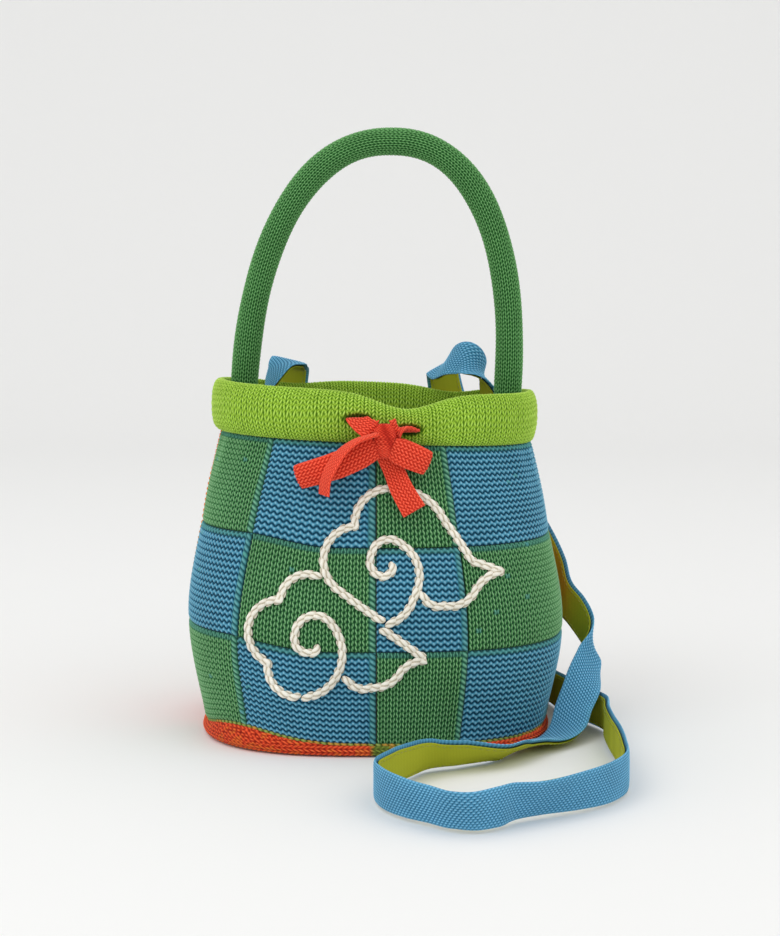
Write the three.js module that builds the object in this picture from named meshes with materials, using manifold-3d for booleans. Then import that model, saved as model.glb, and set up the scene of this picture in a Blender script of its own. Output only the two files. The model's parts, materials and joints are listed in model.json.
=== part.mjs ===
// A knitted patchwork bucket bag with a stuffed handle, a lined shoulder strap and a drawstring bow.
// Millimetres, +Z up. The origin is the centre of the flat bottom, and the front looks along -Y.
import * as THREE from 'three';
import { mergeVertices } from 'three/addons/utils/BufferGeometryUtils.js';
import Module from 'manifold-3d';

const wasm = await Module();
wasm.setup();

// Body
const BOTTOM_CORNER = 5;
const BAND_BULGE = 2.5; // of the base's side beyond the foot
const BAND_HEIGHT = 7;
const FOOT_HALF_WIDTH = 96;
const FOOT_HALF_DEPTH = 91;
const BELLY_HEIGHT = 60;
const BELLY_HALF_WIDTH = 105;
const BELLY_HALF_DEPTH = 93;
const SHOULDER_HEIGHT = 121;
const SHOULDER_HALF_WIDTH = 96;
const SHOULDER_HALF_DEPTH = 77;
const MOUTH_HALF_WIDTH = 87;
const MOUTH_HALF_DEPTH = 62;
const ROW_HEIGHTS = [50, 54, 54.5]; // from the foot up
// Powers of the superellipse that a level follows: the foot is squarer than the mouth.
const FOOT_POWER = 2.9;
const BELLY_POWER = 2.7;
const SHOULDER_POWER = 2.4;
const MOUTH_POWER = 2.3;

// How the soft body hangs: the mouth tilts, the left side stands higher and its front foot is drawn up.
const MOUTH_TILT = 0.04; // drop per millimetre towards +X
const LEFT_LIFT = 6.5;
const LEFT_LIFT_ANGLES = [-16, -50, -105, -150]; // where it starts, is full, starts to fade and ends
const CORNER_LIFT = 7.5;
const CORNER_ANGLE = -46;
const CORNER_REACH = 19;

const KNIT_THICKNESS = 2.4;
const LINING_THICKNESS = 0.8;
const LINING_GAP = 0.7; // between the knitted wall and the loose lining
const GAP = 0.3; // between pieces that touch

// Panels: compass angles from the front centre, towards +X
const SEAM_ANGLES = [-84, 96];
const FRONT_COLUMNS = { foot: [-84, -42, 0.5, 27.7, 96], mouth: [-84, -47, 0.5, 33.5, 96] };
const BACK_COLUMNS = { foot: [96, 141, 186, 231, 276], mouth: [96, 141, 186, 231, 276] };
const BASE_STRIP_EDGES = [-2, 50];
const SEAM_WIDTH = 2.2;
const BASE_SEAM_HEIGHT = 1.2;

// Rim casing and drawstring
const RIM_THICKNESS = 7.4;
const RIM_OVERHANG = 3.6; // of the casing beyond the knitted wall
const RIM_HEIGHT = 28;
const RIM_CLOTH = 1.5;
const RIM_FLAT = 0.35; // share of the section's thickness that is flat at its top and bottom
const RIM_DIP = { depth: 9, x: 17, reach: 22 }; // at the front, under the bow
const STRAP_DIPS = [{ depth: 3, x: -50, reach: 20 }, { depth: 4.5, x: 46, reach: 20 }]; // at the back
const RIM_BACK_DIP = 3;
const TIE_WIDTH = 12;
const TIE_THICKNESS = 2;
const TIE_CLEARANCE = 0.7; // around the tie in its slits
const LEFT_SLIT = { x: -9.5, rise: 13.5 }; // above the body's top
const RIGHT_SLIT = { x: 18, rise: 7.5 };
const SLIT_OUTSIDE = 6; // how far a lead runs straight out of its slit
const TIE_ENDS = [26, 342]; // compass angles between which the tie runs inside the casing

// Handle
const HANDLE_DIAMETER = 15.4;
const HANDLE_CLOTH = 1.8;
const HANDLE_HALF_SPAN = 74.7;
const HANDLE_RISE = 138.5;
const HANDLE_LEAN = 8.5;
const HANDLE_POWER = 2.25;
const PIVOT_DROP = 2.5; // of the handle's pivots below the rim's top
const END_HOLE = 2.4;
const STUB_LENGTH = 18;

// Bow
const KNOT_HALF_SIZE = new THREE.Vector3(5.6, 4.6, 8.6);
const KNOT_X = 5;
const KNOT_OUT = 8.4; // of its middle in front of the casing
const KNOT_RISE = 2.5; // of its middle above the body's top
const KNOT_TURNS = [-75, -45, -15, 15, 45, 75];
const LOOP_DEPTH = 3.4;
const LEAD_RISE = 6.5; // of the leads above the knot's middle
const LEAD_TUCK = 3.3; // of the leads behind the knot's side

// Shoulder strap
const STRAP_WIDTH = 21;
const STRAP_FACE = 1.8;
const STRAP_LINING = 0.7;
const STRAP_LINING_WIDTH = 19.4;
const STRAP_SEAM_GAP = 0.45; // between its face and its lining
const FLOOR_CLEARANCE = 1.2; // under the strap's lowest edge

// Embroidery: chains of arcs through corners, each an x, a height and the bulge of the arc that leaves it
const YARN_DIAMETER = 3.6;
const CLOUD_LINES = {
  upper_cloud_outline: [
    [2.6, 74.6, 0.3], [-18.1, 88.5, 12.8], [-10.7, 122.2, 6.5], [9.1, 141.6, 4.7], [37, 124.4, 0.3],
    [51.4, 103.1, 0.3], [67, 96.8, -2], [53, 88, 3], [36.8, 80.9, 3], [24.6, 88, 0],
  ],
  upper_cloud_curl: [
    [7.4, 72.6, -3], [20.8, 86.4, -5.7], [13.9, 112.8, -5.1], [-1.9, 107.2, -2.8], [3.2, 96.4, -2.5],
    [9.4, 103, 0],
  ],
  lower_cloud_outline_left: [[-29, 95.4, -6.5], [-50, 83.5, -14], [-56.3, 50.8, -5.8], [-41.5, 33.5, 0]],
  lower_cloud_curl: [
    [-37, 33.2, -3], [-20.1, 45.1, -5.1], [-24.9, 74, -6], [-42.3, 65.4, -2.5], [-36, 57, -1.5], [-29.6, 60, 0],
  ],
  lower_cloud_outline_right: [
    [5.2, 67.2, 0.3], [27.1, 53.1, -1.6], [13.8, 47.3, 2.6], [-1.6, 38.7, 3], [-15.6, 44.2, 0],
  ],
};

// Steps
const ROW_STEP = 13.5;
const COLUMN_STEP = 7.5; // degrees
const BASE_STEPS = 48;
const TUBE_SIDES = 10;
const HANDLE_STEPS = 26;
const YARN_SIDES = 6;
const STRAP_STEPS = 3;

const COLOURS = {
  green: 0x3f8a3c,
  blue: 0x4f9cc9,
  red: 0xea4526,
  orangeGreen: 0x7a8a35,
  lime: 0x9fca2c,
  handle: 0x2f8638,
  strap: 0x3e97cc,
  olive: 0xa3a826,
  cream: 0xe9e3d2,
  lining: 0xd9d3c2,
  stuffing: 0xeeeeea,
};

const BAND_TOP = BAND_HEIGHT - BASE_SEAM_HEIGHT;
const [ROW_3_TOP, ROW_2_TOP, BODY_TOP] = ROW_HEIGHTS.map((_, row) => (
  BAND_HEIGHT + ROW_HEIGHTS.slice(0, row + 1).reduce((sum, height) => sum + height, 0)
));
const RIM_TOP = BODY_TOP + RIM_HEIGHT;
const PIVOT_HEIGHT = RIM_TOP - PIVOT_DROP;
const rad = THREE.MathUtils.degToRad;
const vec = (x, y, z) => new THREE.Vector3(x, y, z);
const range = (count) => Array.from({ length: count }, (_, index) => index);
const { lerp, smoothstep } = THREE.MathUtils;

// Radius of a superellipse with the half axes a (sideways) and b (front to back) at a compass angle.
function superRadius(a, b, angle, power) {
  const side = Math.abs(Math.sin(angle) / a) ** power;
  const front = Math.abs(Math.cos(angle) / b) ** power;
  return (side + front) ** (-1 / power);
}

const bodyProfile = new THREE.CubicInterpolant(
  [BAND_HEIGHT, BELLY_HEIGHT, SHOULDER_HEIGHT, BODY_TOP],
  [
    FOOT_HALF_WIDTH, FOOT_HALF_DEPTH, FOOT_POWER,
    BELLY_HALF_WIDTH, BELLY_HALF_DEPTH, BELLY_POWER,
    SHOULDER_HALF_WIDTH, SHOULDER_HALF_DEPTH, SHOULDER_POWER,
    MOUTH_HALF_WIDTH, MOUTH_HALF_DEPTH, MOUTH_POWER,
  ],
  3,
);

// Half width, half depth and power of the outside at a height.
function levelShape(z) {
  const level = THREE.MathUtils.clamp(z, BAND_HEIGHT, BODY_TOP);
  return Array.from(bodyProfile.evaluate(level));
}

// Distance from the middle to the wall, at a level and compass angle and drawn in by an inset.
function wallRadius(angle, z, inset = 0) {
  const [a, b, power] = levelShape(z);
  return superRadius(a - inset, b - inset, angle, power);
}

// How much higher than level the foot hangs at a compass angle.
function footLift(angle) {
  return CORNER_LIFT * Math.exp(-(((angle - rad(CORNER_ANGLE)) / rad(CORNER_REACH)) ** 2));
}

// How much higher than level the body hangs at a compass angle and a sideways place.
function bodyLift(angle, x, z) {
  const turn = THREE.MathUtils.euclideanModulo(angle + Math.PI, 2 * Math.PI) - Math.PI;
  const [start, full, fade, end] = LEFT_LIFT_ANGLES.map(rad);
  const side = smoothstep(-turn, -start, -full) * (1 - smoothstep(-turn, -fade, -end));
  if (z < ROW_3_TOP) {
    const share = smoothstep(z, BAND_HEIGHT, ROW_3_TOP);
    return lerp(footLift(turn), LEFT_LIFT * side, share);
  }
  const share = smoothstep(z, ROW_2_TOP, BODY_TOP);
  return lerp(LEFT_LIFT * side, -MOUTH_TILT * x, share);
}

// A point of the wall at a level and compass angle, inset from the outside.
function wallPoint(angle, z, inset) {
  const radius = wallRadius(angle, z, inset);
  const x = radius * Math.sin(angle);
  return vec(x, -radius * Math.cos(angle), z + bodyLift(angle, x, z));
}

// The compass angle moved sideways by a distance along the wall.
function shiftedAngle(angle, z, distance) {
  return angle + distance / wallRadius(angle, z);
}

// The front wall at a sideways place and height, lifted off by a distance.
function frontPoint(x, z, lift) {
  const at = (px, pz) => {
    const wall = (level) => {
      const [a, b, power] = levelShape(level);
      return vec(px, -b * (1 - Math.abs(px / a) ** power) ** (1 / power), pz);
    };
    const angle = Math.atan2(px, -wall(pz).y);
    return wall(pz - bodyLift(angle, px, pz));
  };
  const point = at(x, z);
  const across = at(x + 0.5, z).sub(at(x - 0.5, z));
  const up = at(x, z + 0.5).sub(at(x, z - 0.5));
  return point.addScaledVector(across.cross(up).normalize(), lift);
}

// A closed solid through rings of points, whose two halves share the slant of their triangles.
// Open lofts get caps that join each ring's two halves.
function loft(rings, closed = false) {
  const count = rings[0].length;
  const positions = rings.flat().flatMap((point) => point.toArray());
  const index = [];
  const quad = (p, q, r, s) => index.push(p, q, r, p, r, s);
  const half = count / 2;
  const spans = closed ? rings.length : rings.length - 1;
  for (let ring = 0; ring < spans; ring += 1) {
    const here = ring * count;
    const next = ((ring + 1) % rings.length) * count;
    for (let side = 0; side < count; side += 1) {
      const turn = (side + 1) % count;
      if (side < half) {
        quad(here + side, here + turn, next + turn, next + side);
      } else {
        quad(here + turn, next + turn, next + side, here + side);
      }
    }
  }
  if (!closed) {
    const last = (rings.length - 1) * count;
    for (let side = 0; side < half - 1; side += 1) {
      const far = count - 1 - side;
      quad(side, far, far - 1, side + 1);
      quad(last + side, last + side + 1, last + far - 1, last + far);
    }
  }
  const geometry = new THREE.BufferGeometry();
  geometry.setAttribute('position', new THREE.Float32BufferAttribute(positions, 3));
  geometry.setIndex(index);
  return outward(geometry);
}

// Six times the volume that the triangles enclose, negative where they face inwards.
function signedVolume(geometry) {
  const position = geometry.getAttribute('position');
  const index = geometry.getIndex().array;
  const [p, q, r] = [vec(0, 0, 0), vec(0, 0, 0), vec(0, 0, 0)];
  let volume = 0;
  for (let at = 0; at < index.length; at += 3) {
    p.fromBufferAttribute(position, index[at]);
    q.fromBufferAttribute(position, index[at + 1]);
    r.fromBufferAttribute(position, index[at + 2]);
    volume += p.dot(q.cross(r));
  }
  return volume;
}

function outward(geometry) {
  if (signedVolume(geometry) < 0) {
    geometry.setIndex(Array.from(geometry.getIndex().array).reverse());
  }
  geometry.computeVertexNormals();
  return geometry;
}

function toSolid(geometry) {
  const bare = new THREE.BufferGeometry();
  bare.setAttribute('position', geometry.getAttribute('position'));
  bare.setIndex(geometry.getIndex());
  const merged = mergeVertices(bare, 1e-4);
  return new wasm.Manifold(new wasm.Mesh({
    numProp: 3,
    vertProperties: merged.getAttribute('position').array,
    triVerts: new Uint32Array(merged.getIndex().array),
  }));
}

function toGeometry(solid) {
  const mesh = solid.getMesh();
  const geometry = new THREE.BufferGeometry();
  geometry.setAttribute('position', new THREE.BufferAttribute(mesh.vertProperties, 3));
  geometry.setIndex(new THREE.BufferAttribute(mesh.triVerts, 1));
  geometry.computeVertexNormals();
  return geometry;
}

function block(low, high) {
  const size = high.clone().sub(low);
  const geometry = new THREE.BoxGeometry(size.x, size.y, size.z);
  return toSolid(geometry.translate(...low.clone().add(high).multiplyScalar(0.5).toArray()));
}

const bag = new THREE.Group();

function addPiece(name, geometry, colour, roughness = 0.9) {
  const material = new THREE.MeshStandardMaterial({ color: colour, roughness, metalness: 0 });
  const mesh = new THREE.Mesh(geometry, material);
  mesh.name = name;
  bag.add(mesh);
}

// A curved slab of the wall between two levels and two edges, less a margin at each side edge.
// An edge is a pair of compass angles, at the foot and at the mouth.
function wallSlab(low, high, fromEdge, toEdge, inset, thickness, margin, coarseness = 1) {
  const columns = Math.ceil(Math.abs(toEdge[0] - fromEdge[0]) / (COLUMN_STEP * coarseness));
  const rows = Math.round((high - low) / (ROW_STEP * coarseness));
  const levels = range(rows + 1).map((row) => low + ((high - low) * row) / rows);
  return loft(range(columns + 1).map((column) => {
    const edgeAngle = ([foot, mouth], z, distance) => {
      const share = (z - BAND_HEIGHT) / (BODY_TOP - BAND_HEIGHT);
      return shiftedAngle(rad(lerp(foot, mouth, share)), z, distance);
    };
    const point = (z, depth) => {
      const start = edgeAngle(fromEdge, z, margin);
      const end = edgeAngle(toEdge, z, -margin);
      return wallPoint(lerp(start, end, column / columns), z, depth);
    };
    const outside = levels.map((z) => point(z, inset));
    const inside = levels.map((z) => point(z, inset + thickness)).reverse();
    return [...outside, ...inside];
  }));
}

function addPatches(side, columns, firstColour, secondColour) {
  let low = BAND_HEIGHT;
  ROW_HEIGHTS.forEach((height, level) => {
    const row = ROW_HEIGHTS.length - level;
    const top = low + height - (row > 1 ? GAP : 0);
    columns.foot.slice(1).forEach((_, column) => {
      const edge = (at) => [columns.foot[at], columns.mouth[at]];
      const seamed = column === 0 || column === columns.foot.length - 2;
      const margin = seamed ? SEAM_WIDTH / 2 + GAP : GAP / 2;
      const colour = (row + column) % 2 ? firstColour : secondColour;
      const slab = wallSlab(low, top, edge(column), edge(column + 1), 0, KNIT_THICKNESS, margin);
      addPiece(`patch_${side}_row${row}_column${column + 1}`, slab, colour);
    });
    low += height;
  });
}

addPatches('front', FRONT_COLUMNS, COLOURS.green, COLOURS.blue);
addPatches('back', BACK_COLUMNS, COLOURS.red, COLOURS.green);

SEAM_ANGLES.forEach((angle, at) => {
  const half = THREE.MathUtils.radToDeg(SEAM_WIDTH / 2 / wallRadius(rad(angle), BELLY_HEIGHT));
  const edges = [angle - half, angle + half].map((edge) => [edge, edge]);
  const seam = wallSlab(BAND_HEIGHT, BODY_TOP, ...edges, 0, KNIT_THICKNESS, 0);
  addPiece(['side_seam_left', 'side_seam_right'][at], seam, COLOURS.red);
});

const baseAngles = range(BASE_STEPS).map((step) => (step / BASE_STEPS) * 2 * Math.PI);
const signedAngle = (angle) => (angle > Math.PI ? angle - 2 * Math.PI : angle);
const seamRing = baseAngles.map((angle) => {
  const corner = (height, inset) => {
    const point = wallPoint(angle, BAND_HEIGHT, inset);
    return point.setZ(point.z - BAND_HEIGHT + height);
  };
  const [low, high] = [BAND_TOP + GAP, BAND_HEIGHT - GAP];
  return [corner(low, 0), corner(high, 0), corner(high, KNIT_THICKNESS), corner(low, KNIT_THICKNESS)];
});
addPiece('base_seam', loft(seamRing, true), COLOURS.orangeGreen);

// The knitted bottom is a shallow dish with a bulging side, cut into three strips.
function bottomDish() {
  const turns = range(5).map((step) => rad(step * 22.5));
  const ringAt = (inset, share, depth) => baseAngles.map((angle) => {
    const rise = BAND_TOP + footLift(signedAngle(angle)) - depth;
    return wallPoint(angle, BAND_HEIGHT, inset).setZ(depth + rise * share);
  });
  const centre = (z) => baseAngles.map(() => vec(0, 0, z));
  const corner = (depth) => turns.map((turn) => {
    const bulge = BAND_BULGE * Math.sin(2 * turn);
    return ringAt(depth + BOTTOM_CORNER * (1 - Math.sin(turn)) - bulge, 1 - Math.cos(turn), depth);
  });
  const outside = corner(0);
  const inside = corner(KNIT_THICKNESS).reverse();
  return loft([centre(0), ...outside, ...inside, centre(KNIT_THICKNESS)]);
}

const dish = toSolid(bottomDish());
const dishReach = FOOT_HALF_WIDTH + FOOT_HALF_DEPTH;
const stripEdges = [-dishReach, ...BASE_STRIP_EDGES, dishReach];
['base_left', 'base_middle', 'base_right'].forEach((name, at) => {
  const low = vec(stripEdges[at] + GAP / 2, -dishReach, -1);
  const high = vec(stripEdges[at + 1] - GAP / 2, dishReach, BAND_HEIGHT);
  const colour = at === 1 ? COLOURS.orangeGreen : COLOURS.red;
  addPiece(name, toGeometry(dish.intersect(block(low, high))), colour);
});

const liningInset = KNIT_THICKNESS + LINING_GAP;
const liningFoot = KNIT_THICKNESS + LINING_THICKNESS + 2 * GAP;
const liningParts = { lining_front: SEAM_ANGLES, lining_back: [SEAM_ANGLES[1], SEAM_ANGLES[0] + 360] };
Object.entries(liningParts).forEach(([name, [from, to]]) => {
  const edges = [from, to].map((edge) => [edge, edge]);
  const slab = wallSlab(BAND_HEIGHT, BODY_TOP, ...edges, liningInset, LINING_THICKNESS, GAP / 2, 2);
  addPiece(name, slab, COLOURS.lining);
});
const floorRing = (z) => baseAngles.map((angle) => (
  wallPoint(angle, BAND_HEIGHT, BOTTOM_CORNER + KNIT_THICKNESS + GAP).setZ(z)
));
const liningFloor = loft([floorRing(liningFoot - LINING_THICKNESS - GAP), floorRing(liningFoot - GAP)]);
addPiece('lining_base', liningFloor, COLOURS.lining);

// Height of the casing's top edge over a place of the rim.
function rimTop(x, y) {
  const dip = ({ depth, x: middle, reach }) => depth * Math.exp(-(((x - middle) / reach) ** 2));
  const towardsBack = Math.max(0, y / MOUTH_HALF_DEPTH);
  const towardsFront = Math.max(0, -y / MOUTH_HALF_DEPTH);
  const back = STRAP_DIPS.reduce((sum, one) => sum + dip(one), RIM_BACK_DIP);
  const sag = towardsFront * dip(RIM_DIP) + towardsBack * back;
  return RIM_TOP - MOUTH_TILT * x - sag;
}

// A ring that follows the rim with a rounded upright section, grown or shrunk by an inset.
function rimRing(inset, fromAngle = 0, toAngle = 360, heights = null) {
  const whole = toAngle - fromAngle === 360;
  const steps = Math.round((toAngle - fromAngle) / COLUMN_STEP);
  const middle = RIM_OVERHANG - RIM_THICKNESS / 2;
  const half = RIM_THICKNESS / 2 - inset;
  const rings = range(whole ? steps : steps + 1).map((step) => {
    const angle = rad(fromAngle + ((toAngle - fromAngle) * step) / steps);
    const centre = wallPoint(angle, BODY_TOP, -middle);
    const out = vec(centre.x, centre.y, 0).normalize();
    const low = centre.z + (heights ? heights[0] : GAP + inset);
    const high = heights ? centre.z + heights[1] : rimTop(centre.x, centre.y) - inset;
    const point = (side, z) => centre.clone().addScaledVector(out, side * half).setZ(z);
    if (heights) {
      return [point(-1, low), point(1, low), point(1, high), point(-1, high)];
    }
    const bevel = half * (1 - RIM_FLAT);
    return [
      point(-RIM_FLAT, low), point(RIM_FLAT, low), point(1, low + bevel), point(1, high - bevel),
      point(RIM_FLAT, high), point(-RIM_FLAT, high), point(-1, high - bevel), point(-1, low + bevel),
    ];
  });
  return loft(rings, whole);
}

const slitSize = vec(TIE_WIDTH + 2 * TIE_CLEARANCE, 0, TIE_THICKNESS + 2 * TIE_CLEARANCE);
const rimMiddleDepth = MOUTH_HALF_DEPTH + RIM_OVERHANG - RIM_THICKNESS / 2;
const slitBlock = ({ x, rise }) => block(
  vec(x - slitSize.x / 2, -rimMiddleDepth - RIM_THICKNESS, BODY_TOP + rise - slitSize.z / 2),
  vec(x + slitSize.x / 2, -rimMiddleDepth, BODY_TOP + rise + slitSize.z / 2),
);
const casing = toSolid(rimRing(0)).subtract(toSolid(rimRing(RIM_CLOTH)))
  .subtract(slitBlock(LEFT_SLIT)).subtract(slitBlock(RIGHT_SLIT));
addPiece('rim_casing', toGeometry(casing), COLOURS.lime);

const tieInset = (RIM_THICKNESS - TIE_THICKNESS) / 2;
const tieMiddle = (LEFT_SLIT.rise + RIGHT_SLIT.rise) / 2;
const tieHeights = [tieMiddle - TIE_WIDTH / 2, tieMiddle + TIE_WIDTH / 2];
addPiece('drawstring_band', rimRing(tieInset, ...TIE_ENDS, tieHeights), COLOURS.red);

// A flat ribbon along stations of a centre point and the direction across it. The offset lies along its face.
function ribbon(stations, width, thickness, offset = 0) {
  return loft(stations.map(({ point, across, face }) => {
    const corner = (side, lift) => point.clone()
      .addScaledVector(across, (side * width) / 2)
      .addScaledVector(face, offset + (lift * thickness) / 2);
    return [corner(-1, 1), corner(1, 1), corner(1, -1), corner(-1, -1)];
  }));
}

// Smooth stations of a ribbon through chosen points, each with the direction across the ribbon there.
function stationsThrough(points, acrosses, steps) {
  const path = new THREE.CatmullRomCurve3(points, false, 'centripetal');
  const turns = new THREE.CatmullRomCurve3(acrosses, false, 'centripetal');
  const last = points.length - 1;
  return range(last * steps + 1).map((step) => {
    const share = step / (last * steps);
    const tangent = path.getTangent(share);
    const across = turns.getPoint(share);
    across.addScaledVector(tangent, -across.dot(tangent)).normalize();
    return { point: path.getPoint(share), across, face: across.clone().cross(tangent).normalize() };
  });
}

const KNOT = vec(KNOT_X, -rimMiddleDepth - RIM_THICKNESS / 2 - KNOT_OUT, BODY_TOP + KNOT_RISE);

// Leads run straight out of their slits and then bend to the knot.
function addLead(name, slit, side) {
  const level = BODY_TOP + slit.rise;
  const inside = -rimMiddleDepth;
  const outside = inside - RIM_THICKNESS / 2 - SLIT_OUTSIDE / 2;
  const reach = KNOT_HALF_SIZE.x + TIE_WIDTH / 2 - LEAD_TUCK;
  const end = vec(KNOT.x + side * reach, KNOT.y, KNOT.z + LEAD_RISE);
  const straight = [vec(slit.x, inside, level), vec(slit.x, (inside + outside) / 2, level)];
  const points = [...straight, vec(slit.x, outside, level), end];
  const stations = stationsThrough(points, points.map(() => vec(1, 0, 0)), 3);
  addPiece(name, ribbon(stations, TIE_WIDTH, TIE_THICKNESS), COLOURS.red);
}

addLead('bow_lead_left', LEFT_SLIT, -1);
addLead('bow_lead_right', RIGHT_SLIT, 1);

addPiece('bow_knot', loft(KNOT_TURNS.map((turn) => range(TUBE_SIDES).map((side) => {
  const angle = (side / TUBE_SIDES) * 2 * Math.PI;
  const reach = Math.cos(rad(turn)) ** 0.6;
  return vec(
    KNOT.x + KNOT_HALF_SIZE.x * reach * Math.cos(angle),
    KNOT.y + KNOT_HALF_SIZE.y * reach * Math.sin(angle),
    KNOT.z + (KNOT_HALF_SIZE.z * Math.sin(rad(turn))) / Math.sin(rad(KNOT_TURNS[5])),
  );
}))), COLOURS.red);

// Loops fold back on themselves behind their front layer, and tails hang free.
function addLoop(name, start, end, sag) {
  const middle = start.clone().lerp(end, 0.5).add(vec(0, 0, sag));
  const front = [start, middle, end];
  const back = [end, middle, start].map((point) => point.clone().add(vec(0, LOOP_DEPTH, 0)));
  const fold = end.clone().addScaledVector(end.clone().sub(start).normalize(), LOOP_DEPTH / 2);
  const points = [...front, fold.add(vec(0, LOOP_DEPTH / 2, 0)), ...back];
  const across = vec(end.z - start.z, 0, start.x - end.x).normalize();
  const stations = stationsThrough(points, points.map(() => across.clone()), 2);
  addPiece(name, ribbon(stations, TIE_WIDTH, TIE_THICKNESS * 0.8), COLOURS.red);
}

function addTail(name, points, acrosses) {
  const stations = stationsThrough(points, acrosses, 3);
  addPiece(name, ribbon(stations, TIE_WIDTH, TIE_THICKNESS), COLOURS.red);
}

const fromKnot = (x, y, z) => KNOT.clone().add(vec(x, y, z));
addLoop('bow_loop_left', fromKnot(-5.9, -2.5, -4), fromKnot(-45, -2.5, -19), -1.5);
addLoop('bow_loop_right', fromKnot(5.6, -2.7, -4.6), fromKnot(22, -2.7, -11.5), 0);
addTail('bow_tail_left', [
  fromKnot(-6.2, -5, 3.6), fromKnot(-16, -8.8, 0), fromKnot(-24, -10, -7),
  fromKnot(-31, -10, -20), fromKnot(-32, -10, -28),
], [vec(0, -1, 0), vec(0.3, -0.95, 0), vec(0.45, -0.89, 0), vec(0.45, -0.89, 0), vec(0.45, -0.89, 0)]);
addTail('bow_tail_right', [
  fromKnot(1.3, 3.3, -9.3), fromKnot(5, 2.9, -16), fromKnot(9, -3.5, -25), fromKnot(16, -7, -37),
], range(4).map(() => vec(0.9, 0, 0.43)));

// Handle: an arch of superellipse form that leans towards +X, with round ends on its pivots.
function handlePoint(share) {
  const angle = rad(-90 + 180 * share);
  const radius = superRadius(HANDLE_HALF_SPAN, HANDLE_RISE, angle, HANDLE_POWER);
  const height = radius * Math.cos(angle);
  const lean = (HANDLE_LEAN * height) / HANDLE_RISE;
  return vec(radius * Math.sin(angle) + lean, 0, PIVOT_HEIGHT + height);
}

function handleRings(radius, hole) {
  const ring = (centre, tangent, size) => {
    const side = vec(0, 1, 0);
    const other = side.clone().cross(tangent).normalize();
    return range(TUBE_SIDES).map((at) => {
      const angle = (at / TUBE_SIDES) * 2 * Math.PI;
      return centre.clone().addScaledVector(side, size * Math.cos(angle))
        .addScaledVector(other, size * Math.sin(angle));
    });
  };
  const steps = HANDLE_STEPS;
  const along = range(steps + 1).map((step) => {
    const share = step / steps;
    const centre = handlePoint(share);
    const tangent = handlePoint(Math.min(1, share + 0.004)).sub(handlePoint(Math.max(0, share - 0.004)));
    return step % steps === 0 ? [centre, vec(0, 0, step ? -1 : 1)] : [centre, tangent.normalize()];
  });
  const closest = THREE.MathUtils.radToDeg(Math.acos(hole / radius));
  const ballTurns = [closest, closest * 0.66, closest * 0.33].map(rad);
  const cap = ([centre, tangent], direction) => ballTurns.map((turn) => ring(
    centre.clone().addScaledVector(tangent, direction * radius * Math.sin(turn)),
    tangent,
    radius * Math.cos(turn),
  ));
  const tube = along.map(([centre, tangent]) => ring(centre, tangent, radius));
  return [...cap(along[0], -1), ...tube, ...cap(along[steps], 1).reverse()];
}

const handleRadius = HANDLE_DIAMETER / 2;
const coreRadius = handleRadius - HANDLE_CLOTH - GAP;
const coverOutside = handleRings(handleRadius, END_HOLE);
const coverInside = handleRings(handleRadius - HANDLE_CLOTH, END_HOLE).reverse();
addPiece('handle_cover', loft([...coverOutside, ...coverInside], true), COLOURS.handle);
addPiece('handle_core', loft(handleRings(coreRadius, END_HOLE / 2)), COLOURS.stuffing);

['handle_end_left', 'handle_end_right'].forEach((name, at) => {
  const side = at ? 1 : -1;
  const top = PIVOT_HEIGHT - handleRadius - GAP;
  const stub = new THREE.CylinderGeometry(handleRadius, handleRadius * 0.9, STUB_LENGTH, TUBE_SIDES);
  stub.rotateX(Math.PI / 2).translate(side * HANDLE_HALF_SPAN, 0, top - STUB_LENGTH / 2);
  addPiece(name, toGeometry(toSolid(stub)), COLOURS.handle);
});

// Places that the strap's route is measured from, so that it stays beside the bag when a size changes.
const ANCHORS = {
  mouthRight: vec(MOUTH_HALF_WIDTH, 0, RIM_TOP),
  backRimRight: vec(MOUTH_HALF_WIDTH, MOUTH_HALF_DEPTH, RIM_TOP),
  mouthLeft: vec(-MOUTH_HALF_WIDTH, 0, RIM_TOP),
  backRimLeft: vec(-MOUTH_HALF_WIDTH, MOUTH_HALF_DEPTH, RIM_TOP),
  backRight: vec(BELLY_HALF_WIDTH, BELLY_HALF_DEPTH, BELLY_HEIGHT),
  sideRight: vec(BELLY_HALF_WIDTH, 0, BELLY_HEIGHT),
  floorRight: vec(BELLY_HALF_WIDTH, 0, 0),
  floorFront: vec(0, -BELLY_HALF_DEPTH, 0),
  floorBack: vec(0, BELLY_HALF_DEPTH, 0),
  back: vec(-MOUTH_HALF_WIDTH, BELLY_HALF_DEPTH, BELLY_HEIGHT),
};

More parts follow.
